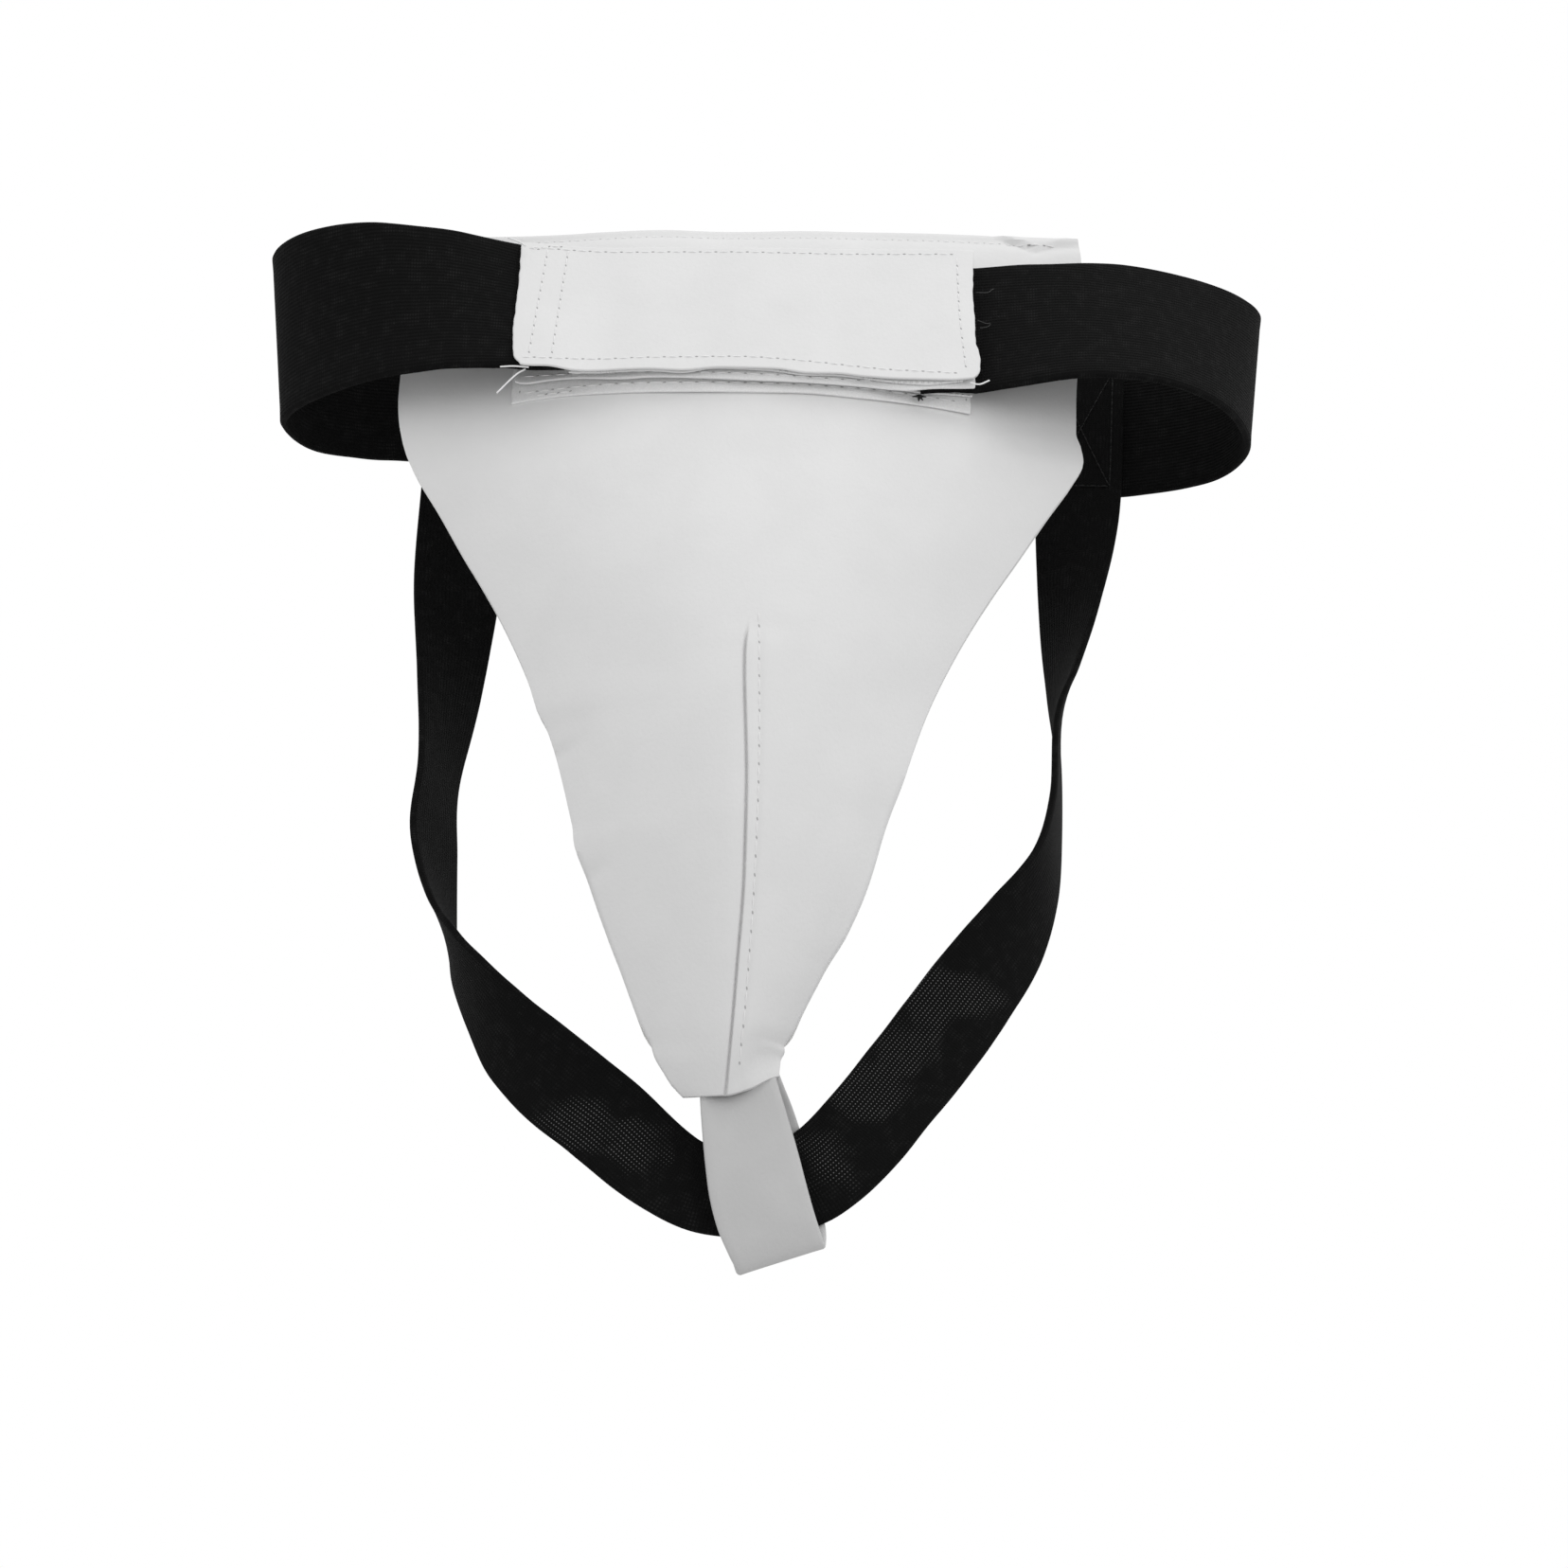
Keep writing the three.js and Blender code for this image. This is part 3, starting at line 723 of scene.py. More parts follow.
def cover_place(x, z):
    """Points of the finished cover's outer face."""
    front = on_shell(cover_front, x, z)
    dart = line_through(DART_FOLD, z)
    edge = half_width(z)
    from_dart = x - dart
    share = np.where(from_dart < 0, from_dart / (edge + dart), from_dart / (edge - dart))
    rows = shell_rows(z, len(PAD_HEIGHTS))
    columns = (np.clip(share, -1, 1) + 1) / 2 * (len(PAD_SHARES) - 1)
    front = front + surface(swell, rows, columns)
    in_dart = smoothstep(DART_TOP + 1 * MM, DART_TOP - 5 * MM, z)
    groove = 0.8 * MM * hill(from_dart, -0.1 * MM, 0.28 * MM)
    raised = 0.55 * MM * smoothstep(0, 0.35 * MM, from_dart) * (1 - smoothstep(4 * MM, 14 * MM, from_dart))
    front[..., 1] += in_dart * (groove - raised)
    from_stitches = x - line_through(DART_STITCHES, z)
    front[..., 1] += in_dart * 0.3 * MM * hill(from_stitches, 0, 0.7 * MM)
    pull = waves(np.stack([x, z * 0.45, 0 * z], axis=-1), 16 * MM, 3)
    front[..., 1] += 0.25 * MM * pull * smoothstep(0, 12 * MM, edge - np.abs(x))
    for crease_x, crease_z in EDGE_CREASES:
        near_edge = hill(x, crease_x * MM, 5 * MM)
        front[..., 1] += 0.8 * MM * near_edge * hill(z, crease_z * MM + 0.3 * (x - crease_x * MM), 1.6 * MM)
    for middle, far, depth in CORNER_FOLDS:
        fold_z = 25.6 * MM + 0.38 * np.abs(x - 66.5 * MM)
        across = depth * MM * hill(x, middle * MM, far * MM)
        front[..., 1] += across * hill(z, fold_z, 0.55 * MM)
        front[..., 1] -= 0.6 * across * hill(z, fold_z + 1.3 * MM, 0.8 * MM)
    hem = z - (SHELL_TOP - 2.4 * MM)
    front[..., 1] += 0.35 * MM * hill(hem, 0, 0.8 * MM)
    return hand_cut(front, x, z)


def make_cover():
    heights = np.linspace(SHELL_BOTTOM, SHELL_TOP, 200)
    spread = np.linspace(0, 1, 49) ** 1.7
    shares = np.concatenate([-spread[:0:-1], spread])
    x, z = shell_grid(heights, shares)
    front = cover_place(x, z)
    back = hand_cut(on_shell(cover_back, x, z), x, z)
    back[..., 1] = np.maximum(back[..., 1], front[..., 1] + 0.5 * MM)
    cover = slab("padded_cover", front, back, np.stack([x, z], axis=-1), WHITE_LEATHER, 0.55 * MM)
    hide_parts("front_cover")
    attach(cover, "shell")


LINING_TUCK = 1 * MM


def make_lining():
    heights = np.linspace(SHELL_BOTTOM, SHELL_TOP, 90)
    shares = np.linspace(-1, 1, 61)
    x, z = shell_grid(heights, shares)
    front = hand_cut(on_shell(lining_front, x, z), x, z, tuck=LINING_TUCK)
    back = hand_cut(on_shell(lining_back, x, z), x, z, tuck=LINING_TUCK)
    back[..., 1] += 0.25 * MM * waves(back, 11 * MM, 5)
    lining = slab("back_lining_cloth", front, back, np.stack([x, z], axis=-1), LINING, 0.3 * MM)
    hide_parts("back_lining")
    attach(lining, "shell")
    lining_area = 2 * np.trapz(half_width(heights), heights)


def stitch_shell():
    z = np.linspace(-78 * MM, SHELL_BOTTOM + 2 * MM, 60)
    line, out = line_on(cover_place, line_through(DART_STITCHES, z), z)
    stitch_row("dart_stitches", line, out, "shell", pitch=3.8 * MM, slant=0.25, hole=0.5 * MM)
    x = np.linspace(-73 * MM, 73 * MM, 90)
    line, out = line_on(cover_place, x, np.full(x.shape, SHELL_TOP - 2.3 * MM))
    stitch_row("hem_stitches", line, out, "shell")


make_cover()
make_lining()
stitch_shell()


# ---- The closure: tapes and the flap ----

def on_strip(grid, x, z):
    """Points of a closure strip's grid at the given x and z, going straight on past its edges."""
    first, last = grid[0, 0], grid[-1, -1]
    rows = (x - first[0]) / (last[0] - first[0]) * (grid.shape[0] - 1)
    columns = (z - first[2]) / (last[2] - first[2]) * (grid.shape[1] - 1)
    return surface(grid, rows, columns)


def eased(grid, reach):
    """The strip's grid with its bends averaged over reach corners either side."""
    window = np.ones(2 * reach + 1) / (2 * reach + 1)
    soft = grid.copy()
    for column in range(grid.shape[1]):
        longer = np.pad(grid[:, column, 1], reach, mode="edge")
        soft[:, column, 1] = np.convolve(longer, window, mode="valid")
    return soft


TAPE_THICK = 0.8 * MM


class ClosureLayer:
    """A closure strip's front face, with its bends eased and a slight crumple. pressed is how far
    the strip is pressed back against the ones under it, as [x, distance]."""

    def __init__(self, node, body, crumple, reach, seed, pressed):
        front, _ = corner_grids(node, axis=0)
        self.node = node
        self.body = body
        self.grid = eased(front, reach)
        self.crumple = crumple
        self.seed = seed
        self.pressed = pressed

    def front(self, x, z):
        points = on_strip(self.grid, x, z)
        points[..., 1] += self.crumple * waves(np.stack([x, 0 * x, z], axis=-1), 12 * MM, self.seed)
        points[..., 1] += line_through(self.pressed, x / MM) * MM
        return points

    def piece(self, name, outline, material, edge, steps=(110, 40)):
        """The strip cut to its own outline: how far it reaches left, right, down and up."""
        left, right, bottom, top = outline
        u, v = np.meshgrid(np.linspace(0, 1, steps[0]), np.linspace(0, 1, steps[1]))
        rough_x = left[0][1] * (1 - u) + right[0][1] * u
        low = line_through(bottom, rough_x)
        high = line_through(top, rough_x)
        z = (low * (1 - v) + high * v) * MM
        x = (line_through(left, z / MM) * (1 - u) + line_through(right, z / MM) * u) * MM
        fray = 0.2 * MM * waves(np.stack([x, 0 * x, z], axis=-1), 2.2 * MM, 7)
        x = x + fray * (hill(u, 0, 0.01) + hill(u, 1, 0.01))
        front = self.front(x, z)
        back = front + np.array([0, TAPE_THICK, 0])
        return slab(name, front, back, np.stack([x, z], axis=-1), material, edge)


FLAP_OUTLINE = (
    [[-21, -48.4], [-18, -48.6], [-16.8, -49.6], [-15.6, -50.1], [-8, -50.7], [4.5, -50.5],
     [17.8, -50.8]],
    [[-21, 49.4], [-17.7, 50.2], [-16.5, 51.3], [-14.6, 52], [-12, 52], [-9.8, 51.7], [-7.6, 51.1],
     [1, 51],
     [6, 50.8], [19, 51.4]],
    [[-52, -17.3], [-47, -18.4], [-42, -18], [-37, -18.6], [-26, -17.7], [-20, -17.4], [-14, -17.6],
     [-5, -16.6], [6, -16.6], [14, -17.6], [20, -17.4], [26, -18], [35, -18.4], [44, -18.3], [52, -17]],
    [[-52, 17.7], [-43.5, 17.9], [-30, 18.4], [-19, 18.9], [-2, 19.1], [13, 19.6], [52, 19.4]],
)
FLAP_HOOK_OUTLINE = (
    [[-21, -38.4], [18, -36]],
    [[-21, 48.2], [18, 48]],
    [[-39, -18.1], [-32, -18], [-26, -17.4], [-20, -17.1], [-14, -17.5], [-6, -16.1], [5, -16.4],
     [14, -17.4],
     [20, -17.2], [26, -17.6], [34, -18.8], [40, -19.2], [46, -18.1], [50, -17.3]],
    [[-37, 16.8], [49, 17.4]],
)
BELT_OUTLINE = (
    [[-22, -50.4], [17, -50.8]],
    [[-22, 50.9], [17, 50.8]],
    [[-52, -17.1], [-48, -18.3], [-43, -17.8], [-38, -17.6], [-26, -18.2], [-20, -17.9], [1, -18.6],
     [25, -19.2], [36, -20.3], [41, -19.7], [52, -18.5]],
    [[-52, 17], [52, 17.2]],
)
BELT_HOOK_OUTLINE = (
    [[-22, -50.8], [17, -50.4]],
    [[-22, 50.6], [17, 50.9]],
    [[-52, -16.4], [-47, -17], [-38, -16.6], [-22, -16.8], [-6.6, -17.4], [9.3, -17.8], [25, -18.1],
     [34, -18.8], [39, -19.2], [46, -18.9], [52, -18.7]],
    [[-52, 16.8], [52, 17]],
)
SHELL_TAPE_OUTLINE = (
    [[-25, -51.1], [15, -51.6]],
    [[-25, 50.1], [15, 50.8]],
    [[-52, -22.5], [-45, -21.6], [-36, -21.1], [-20, -20.9], [0, -20.9], [13, -20.7], [25, -21.3],
     [40, -22.1],
     [52, -23.1]],
    [[-52, 15], [52, 15]],
)


FLAP = ClosureLayer("flap_skin", "flap", 0.15 * MM, 4, 1, [[-50, 0.2], [-28, 2.8], [30, 2.8], [44, 2.3]])
FLAP_HOOKS = ClosureLayer("flap_hook_tape", "flap", 0.1 * MM, 2, 2, [[30, 2.2], [44, 1.8]])
BELT_LOOPS = ClosureLayer("belt_end_loop_tape", "belt_end", 0.1 * MM, 2, 3, [[30, 1.7], [44, 1.1]])
BELT_HOOKS = ClosureLayer("belt_end_hook_tape", "belt_end", 0.1 * MM, 0, 4, [[0, 1.2], [50, 1.2]])
SHELL_LOOPS = ClosureLayer("shell_loop_tape", "shell", 0.1 * MM, 0, 5, [[0, 0.7], [50, 0.7]])


def make_closure():
    flap = FLAP.piece("flap_leather", FLAP_OUTLINE, WHITE_LEATHER, 0.36 * MM, steps=(200, 90))
    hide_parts("flap_skin")
    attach(flap, "flap")
    tapes = [
        (FLAP_HOOKS, "flap_hooks", FLAP_HOOK_OUTLINE, "flap_leather"),
        (BELT_LOOPS, "belt_end_loops", BELT_OUTLINE, "belt_end_hooks"),
        (BELT_HOOKS, "belt_end_hooks", BELT_HOOK_OUTLINE, "shell_loops"),
        (SHELL_LOOPS, "shell_loops", SHELL_TAPE_OUTLINE, "padded_cover"),
    ]
    for layer, name, outline, below in tapes:
        material = HOOK_TAPE if name.endswith("hooks") else LOOP_TAPE
        tape = layer.piece(name, outline, material, 0.3 * MM)
        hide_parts(layer.node)
        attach(tape, layer.body)


def stitch_closure():
    def through(values):
        stations = np.stack([np.linspace(0, 1, len(values)), values], axis=-1)
        return line_through(stations, np.linspace(0, 1, 60)) * MM

    def row(name, layer, xs, zs, **more):
        line, out = line_on(layer.front, through(xs), through(zs))
        stitch_row(name, line, out, layer.body, **more)

    close = {"pitch": 2.7 * MM, "slant": 0.4, "hole": 0.4 * MM}
    row("flap_stitches_outer", FLAP, [-44.7, -46.8], [16.4, -16.2], **close)
    row("flap_stitches_inner", FLAP, [-40.2, -41.9], [17.0, -16], **close)
    row("flap_tack", FLAP, [-49.5, -47, -44, -40.2], [16.2, 15.9, 17.2, 17.5], **close)
    row("flap_stitches_top", FLAP, [-49.4, 49.4], [16.3, 17.2, 17.8, 18.0, 17.9])
    row("flap_stitches_bottom", FLAP, [-49, 48.8], [-16.4, -15.1, -14.0, -13.5, -14.5, -16.0, -16.5])
    row("flap_stitches_right", FLAP, [47.4, 47.6, 48.8], [17.2, 2, -16], **close)
    row("tape_stitches_bottom", SHELL_LOOPS, [-49, 49], [-19.7, -18.4, -18.3, -18.7, -20.2])
    row("tape_stitches_tack", SHELL_LOOPS, [-46, -37], [-20.7, -20.0], **close)
    row("tape_stitches_top", SHELL_LOOPS, [-49, 49], [13, 13])
    row("tape_stitches_left", SHELL_LOOPS, [-49.4, -49.4], [12, -19.8])
    row("tape_stitches_right", SHELL_LOOPS, [49.2, 49.2], [12, -20.2])
    row("belt_stitches_top", BELT_LOOPS, [-49, 49], [15.2, 15.2])
    row("belt_stitches_bottom", BELT_LOOPS, [-49, 49], [-16.4, -16.4, -16.9, -17.7, -17.2])
    row("belt_stitches_left", BELT_LOOPS, [-49, -49], [14.4, -16])
    row("belt_stitches_right", BELT_LOOPS, [41, 41], [14.4, -17.2])


# Cut thread ends left at the corners, as [x, y, z] in millimetres.
THREAD_ENDS = [
    ("thread_end_long", [[-47.4, -31.0, -18.6], [-49.6, -31.2, -20.4], [-53.3, -31.0, -24.6]]),
    ("thread_end_low", [[-46.6, -31.8, -18.6], [-49.8, -32.0, -18.5], [-52.8, -31.8, -18.6]]),
    ("thread_end_top", [[-49.6, -25.5, 15.6], [-50.8, -28.5, 14.8], [-52.8, -31, 14.2]]),
    ("thread_end_right", [[49.6, -28.4, -18.6], [51.6, -28.8, -19.2], [53.8, -29.2, -18.4]]),
]
KNOT_PLACE = [38.6, -25.6, -20.6]
# Stray fibres lying on the right elastic by the flap, as [x, z] in millimetres.
STRAY_FIBRES = [
    [[51.7, 8.3], [54.3, 8.5], [55.2, 9.3], [56.1, 10]],
    [[51.7, 0.3], [54.4, -0.4], [56.7, 2.1], [55.8, 4]],
    [[52.3, -1.9], [54, -1.4], [55, -0.3]],
]


def make_thread_ends():
    for name, stations in THREAD_ENDS:
        line = curve(np.array(stations) * MM, np.linspace(0, 2, 20))
        tail = make_tubes(name, [tube(line, np.full(20, 0.2 * MM), TO_FRONT)], WHITE_THREAD)
        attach(tail, "flap")
    knot = []
    for turn in np.radians([200, 265, 300, 340]):
        reach = np.array([math.cos(turn), -0.4, math.sin(turn)]) * 1.6 * MM
        line = mm(KNOT_PLACE) + reach * np.linspace(0, 1, 6)[:, None]
        knot.append(tube(line, mm(np.linspace(0.4, 0.12, 6)), TO_FRONT))
    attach(make_tubes("black_thread_knot", knot, BLACK_THREAD), "belt_end")


make_closure()
stitch_closure()
make_thread_ends()


# ---- The elastics ----

HALF_RISE = 18.2 * MM
# In plan, as [lower edge x, y, upper edge x, y] in millimetres: the same stations as the CAD's,
# between the ends that are read from the frame.
WAIST_ROUTE = [
    [-66, -29.6, -67, -27.2], [-82, -23.5, -83, -29.9], [-96, -14, -98, -26], [-104.8, -3, -107.3, -16],
    [-101.5, 9, -105, -4], [-90, 13.9, -95, 6.5], [-72, 15.4, -76, 12.6], [-40, 18.5, -42, 18],
    [0, 23.5, 0, 23.5], [40, 27, 40, 27], [80, 28, 82, 28], [101, 23.6, 103, 24],
    [112.5, 14.5, 117, 15.5], [115.2, 1, 119.8, 4], [108.6, -15, 113, -5], [96, -27, 100.5, -12.3],
    [82, -31.3, 85, -17], [67, -30, 68, -19.5],
]
# As [x, y, z, turn]: turn is in degrees, 0 facing the front, -90 edge on and -180 facing the front
# with the other side.
LEG_ROUTE = [
    [-65, 12.3, 14, -9], [-65, 13.8, -18, -6], [-65.3, 13.5, -50, -14], [-65.4, 11.5, -76, -52],
    [-66, 8.5, -98, -72], [-65.8, 6.6, -115, -68], [-63, 4.4, -131, -81], [-59.4, 1.8, -141.5, -101],
    [-53, -0.8, -151.7, -120], [-45.3, -3.4, -161.7, -143], [-36, -6.2, -170.4, -163],
    [-25.5, -8.6, -179.3, -181], [-14, -10.9, -189.8, -191], [-5, -12, -194.8, -192],
    [6, -12.2, -195.2, -191], [16, -11.4, -191.9, -190], [24.5, -9.4, -184.6, -189],
    [33, -6.6, -173.8, -188], [42, -3, -161.5, -181], [51.8, 0.6, -147.2, -162],
    [60.9, 4.2, -133.6, -140], [67.8, 8, -120.2, -114], [70.9, 12, -105, -101], [72.2, 16.8, -84, -97],
    [74.2, 20.2, -69, -77], [76.2, 22.4, -51, -53], [78.8, 24.4, -24, -12], [81, 25, 14, -2],
]
LEG_HALF_WIDTH = 10 * MM
WAIST_THICK = 1.6 * MM
LEG_THICK = 1.4 * MM


def strap_end(node, x_way):
    """The lower and upper corner of a waist strap's end, at mid-thickness."""
    points = corners(node)
    end = points[points[:, 0] * x_way > (points[:, 0] * x_way).max() - 1.2 * MM]
    return end[end[:, 2] < -10 * MM].mean(axis=0), end[end[:, 2] > 10 * MM].mean(axis=0)


def waist_edges():
    left = strap_end("waist_elastic_left_side", 1)
    right = strap_end("waist_elastic_right_side", -1)
    route = np.array(WAIST_ROUTE) * MM
    edges = []
    for column, rise in ((0, -HALF_RISE), (2, HALF_RISE)):
        middle = np.column_stack([route[:, column:column + 2], np.full(len(route), rise)])
        which = column // 2
        edges.append(np.concatenate([[left[which]], middle, [right[which]]]))
    return edges


def leg_edges():
    middle = np.array(LEG_ROUTE)[:, :3] * MM
    turn = np.radians(np.array(LEG_ROUTE)[:, 3:])
    padded = with_ends(middle)
    ahead = unit(padded[2:] - padded[:-2])
    inward = unit(np.cross(ahead, [0, 1, 0]))
    forward = unit(np.cross(ahead, inward))
    width_way = inward * np.cos(turn) + forward * np.sin(turn)
    return middle - LEG_HALF_WIDTH * width_way, middle + LEG_HALF_WIDTH * width_way


def strap(name, low, high, thick, material, columns=14):
    """A flat strap between two edge lines, with rounded selvedges."""
    middle = (low + high) / 2
    width_way = unit(high - low)
    ahead = unit(np.gradient(middle, axis=0))
    face = unit(np.cross(ahead, width_way))
    width = np.linalg.norm(high - low, axis=1)[:, None]
    run = np.concatenate([[0], np.cumsum(np.linalg.norm(np.diff(middle, axis=0), axis=1))])
    inset = 0.5 * thick / width.mean()
    flat = np.linspace(inset, 1 - inset, columns)
    near_edge = np.minimum(flat, 1 - flat) * width.mean()
    bulge = 1 + 0.12 * hill(near_edge, 1 * MM, 0.8 * MM)
    lip = 0.3 * inset
    shares = np.concatenate([flat, [1 - lip, 1, 1 - lip], flat[::-1], [lip, 0, lip]])
    lifts = np.concatenate([bulge, [0.7, 0, -0.7], -bulge, [-0.7, 0, 0.7]]) * thick / 2
    points = low[:, None] + (high - low)[:, None] * shares[None, :, None]
    points = points + face[:, None] * lifts[None, :, None]
    count, sides = len(low), len(shares)
    ring = np.arange(sides)
    following = np.roll(ring, -1)
    faces = []
    for i in range(count - 1):
        here, there = i * sides, (i + 1) * sides
        faces += np.stack([here + ring, there + ring, there + following, here + following], axis=-1).tolist()
    faces.append(ring.tolist())
    faces.append((ring[::-1] + (count - 1) * sides).tolist())
    uv = np.stack([np.repeat(run[:, None], sides, axis=1), shares[None, :] * width], axis=-1)
    piece = make_piece(name, points, faces, material, uv)
    last = (count - 1) * sides
    for edge in piece.data.edges:
        if max(edge.vertices) < sides or min(edge.vertices) >= last:
            edge.use_edge_sharp = True
    return piece


def waver(line, size, depth, seed):
    """A strap's edge line with a slight waver in height."""
    moved = line.copy()
    moved[:, 2] += depth * waves(line, size, seed)
    return moved


def make_waist_straps():
    low, high = waist_edges()
    left_cut, right_cut = 3.4, 15.5  # the stations where one strap ends and the next begins

    def run(edge, start, end, seed):
        t = np.linspace(start, end, int((end - start) * 14) + 2)
        return waver(curve(edge, t), 9 * MM, 0.25 * MM, seed)

    def lap(node, xs, low_z, high_z, pressed):
        """A strap's end under the closure, pressed back against what it is sewn to."""
        front, back = corner_grids(node, axis=0)
        middle = (front + back) / 2 + np.array([0, pressed, 0])
        return on_strip(middle, mm(xs), mm(low_z)), on_strip(middle, mm(xs), mm(high_z))

    lap_low, lap_high = lap(
        "waist_elastic_left_end", [-39, -43, -47], [-18.1, -18.2, -18.3], [17, 17.3, 17.8], 0.6 * MM
    )
    left = strap("waist_strap_left", np.concatenate([lap_low, run(low, 0, left_cut, 1)]),
                 np.concatenate([lap_high, run(high, 0, left_cut, 2)]), WAIST_THICK, WAIST_ELASTIC)
    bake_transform(left)
    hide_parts("waist_elastic_left_end", "waist_elastic_left_side")
    back = strap("waist_strap_back", run(low, left_cut, right_cut, 1), run(high, left_cut, right_cut, 2),
                 WAIST_THICK, WAIST_ELASTIC)
    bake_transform(back)
    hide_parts("waist_elastic_back")
    lap_low, lap_high = lap(
        "waist_elastic_right_end", [47, 43, 39], [-18.9, -19.6, -20.4], [15.2, 15.2, 15.2], 0.8 * MM
    )
    side_low, side_high = run(low, right_cut, 19, 1), run(high, right_cut, 19, 2)
    side_low[:, 2] -= 0.9 * MM * smoothstep(78 * MM, 58 * MM, side_low[:, 0])
    side_high[:, 2] -= 1.7 * MM * smoothstep(86 * MM, 66 * MM, side_high[:, 0])
    right = strap("waist_strap_right", np.concatenate([side_low, lap_low]),
                  np.concatenate([side_high, lap_high]), WAIST_THICK, WAIST_ELASTIC)
    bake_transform(right)
    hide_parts("waist_elastic_right_side", "waist_elastic_right_end")


def make_leg_straps():
    low, high = leg_edges()
    left_cut, right_cut = 5.5, 20.5

    def run(name, start, end):
        t = np.linspace(start, end, int((end - start) * 10) + 2)
        edges = []
        for line, lift, seed in ((low, 0.8 * MM, 4), (high, 1.8 * MM, 5)):
            edge = waver(curve(line, t), 8 * MM, 0.2 * MM, seed)
            edge[:, 2] += lift * hill(t, 12.6, 1.6)
            edges.append(edge)
        return strap(name, *edges, LEG_THICK, LEG_ELASTIC, columns=10)

    left = run("leg_strap_left", 0, left_cut)
    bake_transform(left)
    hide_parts("leg_elastic_left_end", "leg_elastic_left_side")
    sling = run("leg_strap_sling", left_cut, right_cut)
    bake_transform(sling)
    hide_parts("leg_elastic_crotch")
    right = run("leg_strap_right", right_cut, 27)
    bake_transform(right)
    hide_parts("leg_elastic_right_side", "leg_elastic_right_end")


def make_stray_fibres():
    """Loose fibres that curl over the right elastic's face beside the flap."""
    front, _ = corner_grids("waist_elastic_right_end", axis=0)
    fibres = []
    for stations in STRAY_FIBRES:
        flat = curve(np.array(stations) * MM, np.linspace(0, len(stations) - 1, 24))
        line = on_strip(front, flat[:, 0], flat[:, 1])
        line[:, 1] -= 0.9 * MM
        fibres.append(tube(line, np.full(24, 0.05 * MM), TO_FRONT))
    made = make_tubes("stray_fibres", fibres, GREY_FIBRE)
    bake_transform(made)


def sew_leg_strap(side, leg_station, waist_station):
    """A sewn box with a cross, in black thread, that holds a leg strap's end to the rear band. It
    shows on the band's outer face and on the strap's inner one."""
    waist_low, waist_high = waist_edges()
    leg_low, leg_high = leg_edges()
    box = np.array([[-1, -1], [1, -1], [1, 1], [-1, 1], [-1, -1], [1, 1], [-1, 1], [1, -1]])
    share = np.linspace(0, 1, 30)[:, None]
    line = np.concatenate([a * (1 - share) + b * share for a, b in zip(box, box[1:])])
    faces = [
        ("outer", waist_low, waist_high, waist_station, 0, 0.17, [0.12, 0.88], WAIST_THICK, 1),
        ("inner", leg_low, leg_high, leg_station, 1, 0.4, [0.14, 0.86], LEG_THICK, -1),
    ]
    for name, low, high, middle, along, reach, band, thick, way in faces:
        t = middle + reach * line[:, along]
        across = (line[:, [1 - along]] + 1) / 2 * (band[1] - band[0]) + band[0]
        points = curve(low, t) * (1 - across) + curve(high, t) * across
        ahead = unit(curve(low, t + 0.1) - curve(low, t - 0.1))
        out = unit(np.cross(ahead, curve(high, t) - curve(low, t)))
        out *= np.sign(out[:, 1:2]) * way
        row = "%s_leg_box_%s" % (side, name)
        sewn = {"pitch": 2.6 * MM, "colour": BLACK_THREAD, "hole": 0.3 * MM}
        stitch_row(row, points + out * thick * 0.56, out, "waist_back", **sewn)


make_waist_straps()
make_leg_straps()
make_stray_fibres()
sew_leg_strap("left", 0.42, 7.2)
sew_leg_strap("right", 26.6, 10.97)


# ---- The crotch tab ----

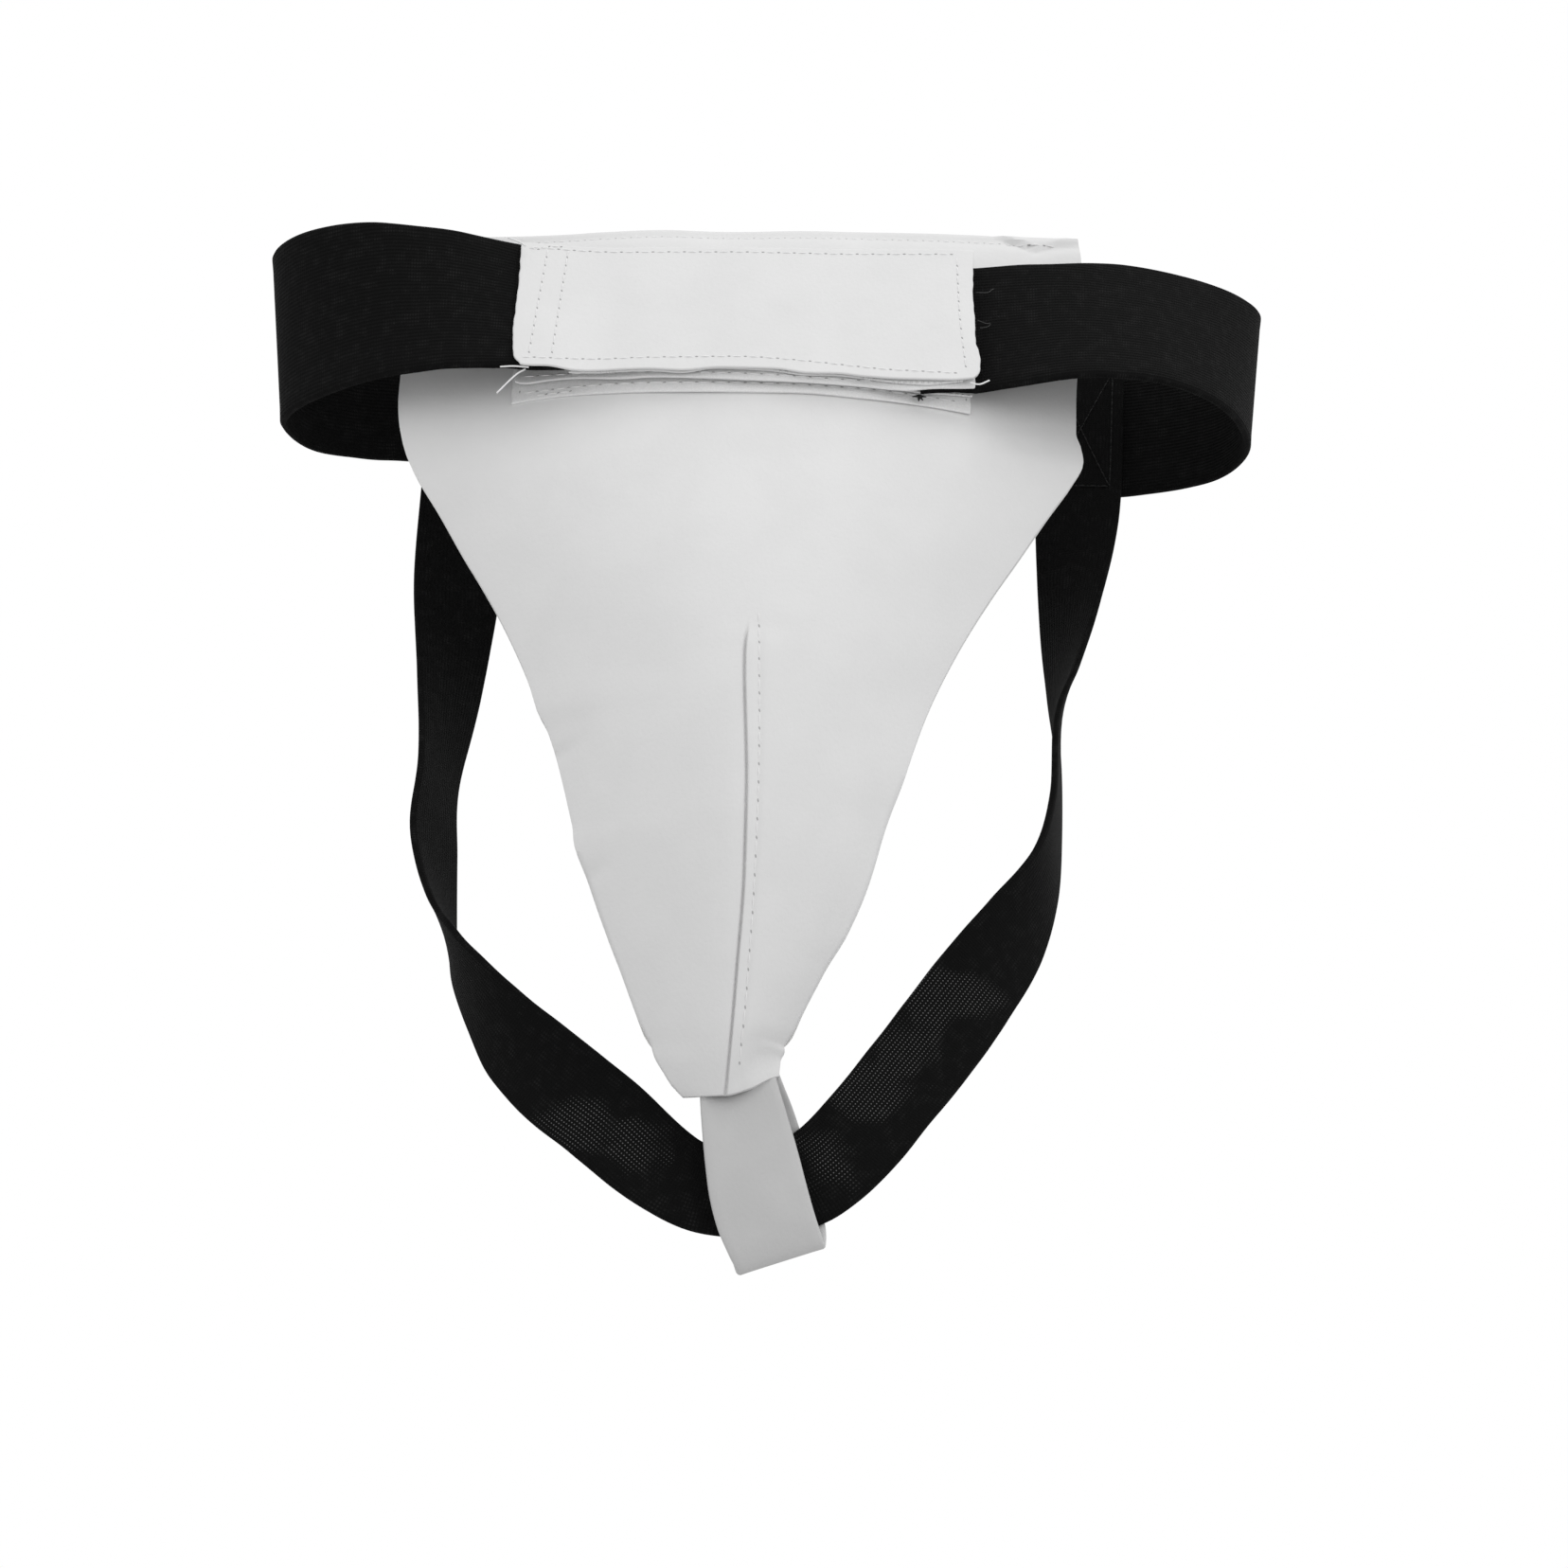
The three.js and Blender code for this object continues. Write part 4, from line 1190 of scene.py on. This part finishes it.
# The folded strip's two edges, as [left x, left z, right x, right z, y] in millimetres: out of the
# shell's foot, down the front, round the fold and up the back into the foot again.
TAB_ROUTE = [
    [-5.6, -171, 9.2, -168.5, -15.6], [-5.4, -176.6, 10.3, -173.2, -16.6],
    [-4.8, -183, 12.2, -179.5, -17.8], [-4.0, -190, 14.3, -186.5, -18.6],
    [-2.9, -197, 16.2, -193.5, -18.9], [-1.2, -203, 17.8, -199, -18.6],
    [1.2, -208.2, 19.1, -202.8, -17.9], [2.7, -210.8, 20.0, -205.2, -17.0],
    [2.6, -211, 20.4, -205, -15.6], [1.4, -207, 20.3, -201, -12.4], [-0.4, -200, 18.8, -195, -9.0],
    [-2.0, -193, 17.0, -188.5, -7.4], [-3.2, -186, 15.4, -182, -7.6], [-4.2, -180, 13.4, -176.5, -9.8],
    [-5.0, -174.5, 11.0, -171.5, -13.6], [-5.4, -170, 9.4, -167.5, -15.2],
]


def make_tab():
    route = np.array(TAB_ROUTE) * MM
    t = np.linspace(0, len(route) - 1, 170)
    left = curve(route[:, [0, 4, 1]], t)
    right = curve(route[:, [2, 4, 3]], t)
    # The tab's darker leather is painted shade, not a different leather.
    tab = strap("crotch_tab_loop", right, left, 1.2 * MM, TAB_LEATHER_PAINTED_SHADE)
    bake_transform(tab)
    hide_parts("crotch_tab")


make_tab()


# ---- Inside the shell ----

FOAM_TUCK = 2.5 * MM


def make_foam(name, node):
    grids = []
    for grid in corner_grids(node, axis=2):
        rows, columns = np.meshgrid(
            np.linspace(0, grid.shape[0] - 1, 60), np.linspace(0, grid.shape[1] - 1, 40), indexing="ij"
        )
        points = surface(grid, rows, columns)
        x, z = points[..., 0].copy(), points[..., 2].copy()
        grids.append(hand_cut(points, x, z, tuck=FOAM_TUCK))
    front, back = grids
    pad = slab(name, front, back, front[..., [0, 2]], FOAM, 0.2 * MM)
    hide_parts(node)
    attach(pad, "shell")


make_foam("front_foam_pad", "front_foam")
make_foam("rear_foam_pad", "rear_foam")
cup = nodes["hard_cup"]
cup.data.materials.clear()
cup.data.materials.append(CUP_PLASTIC)
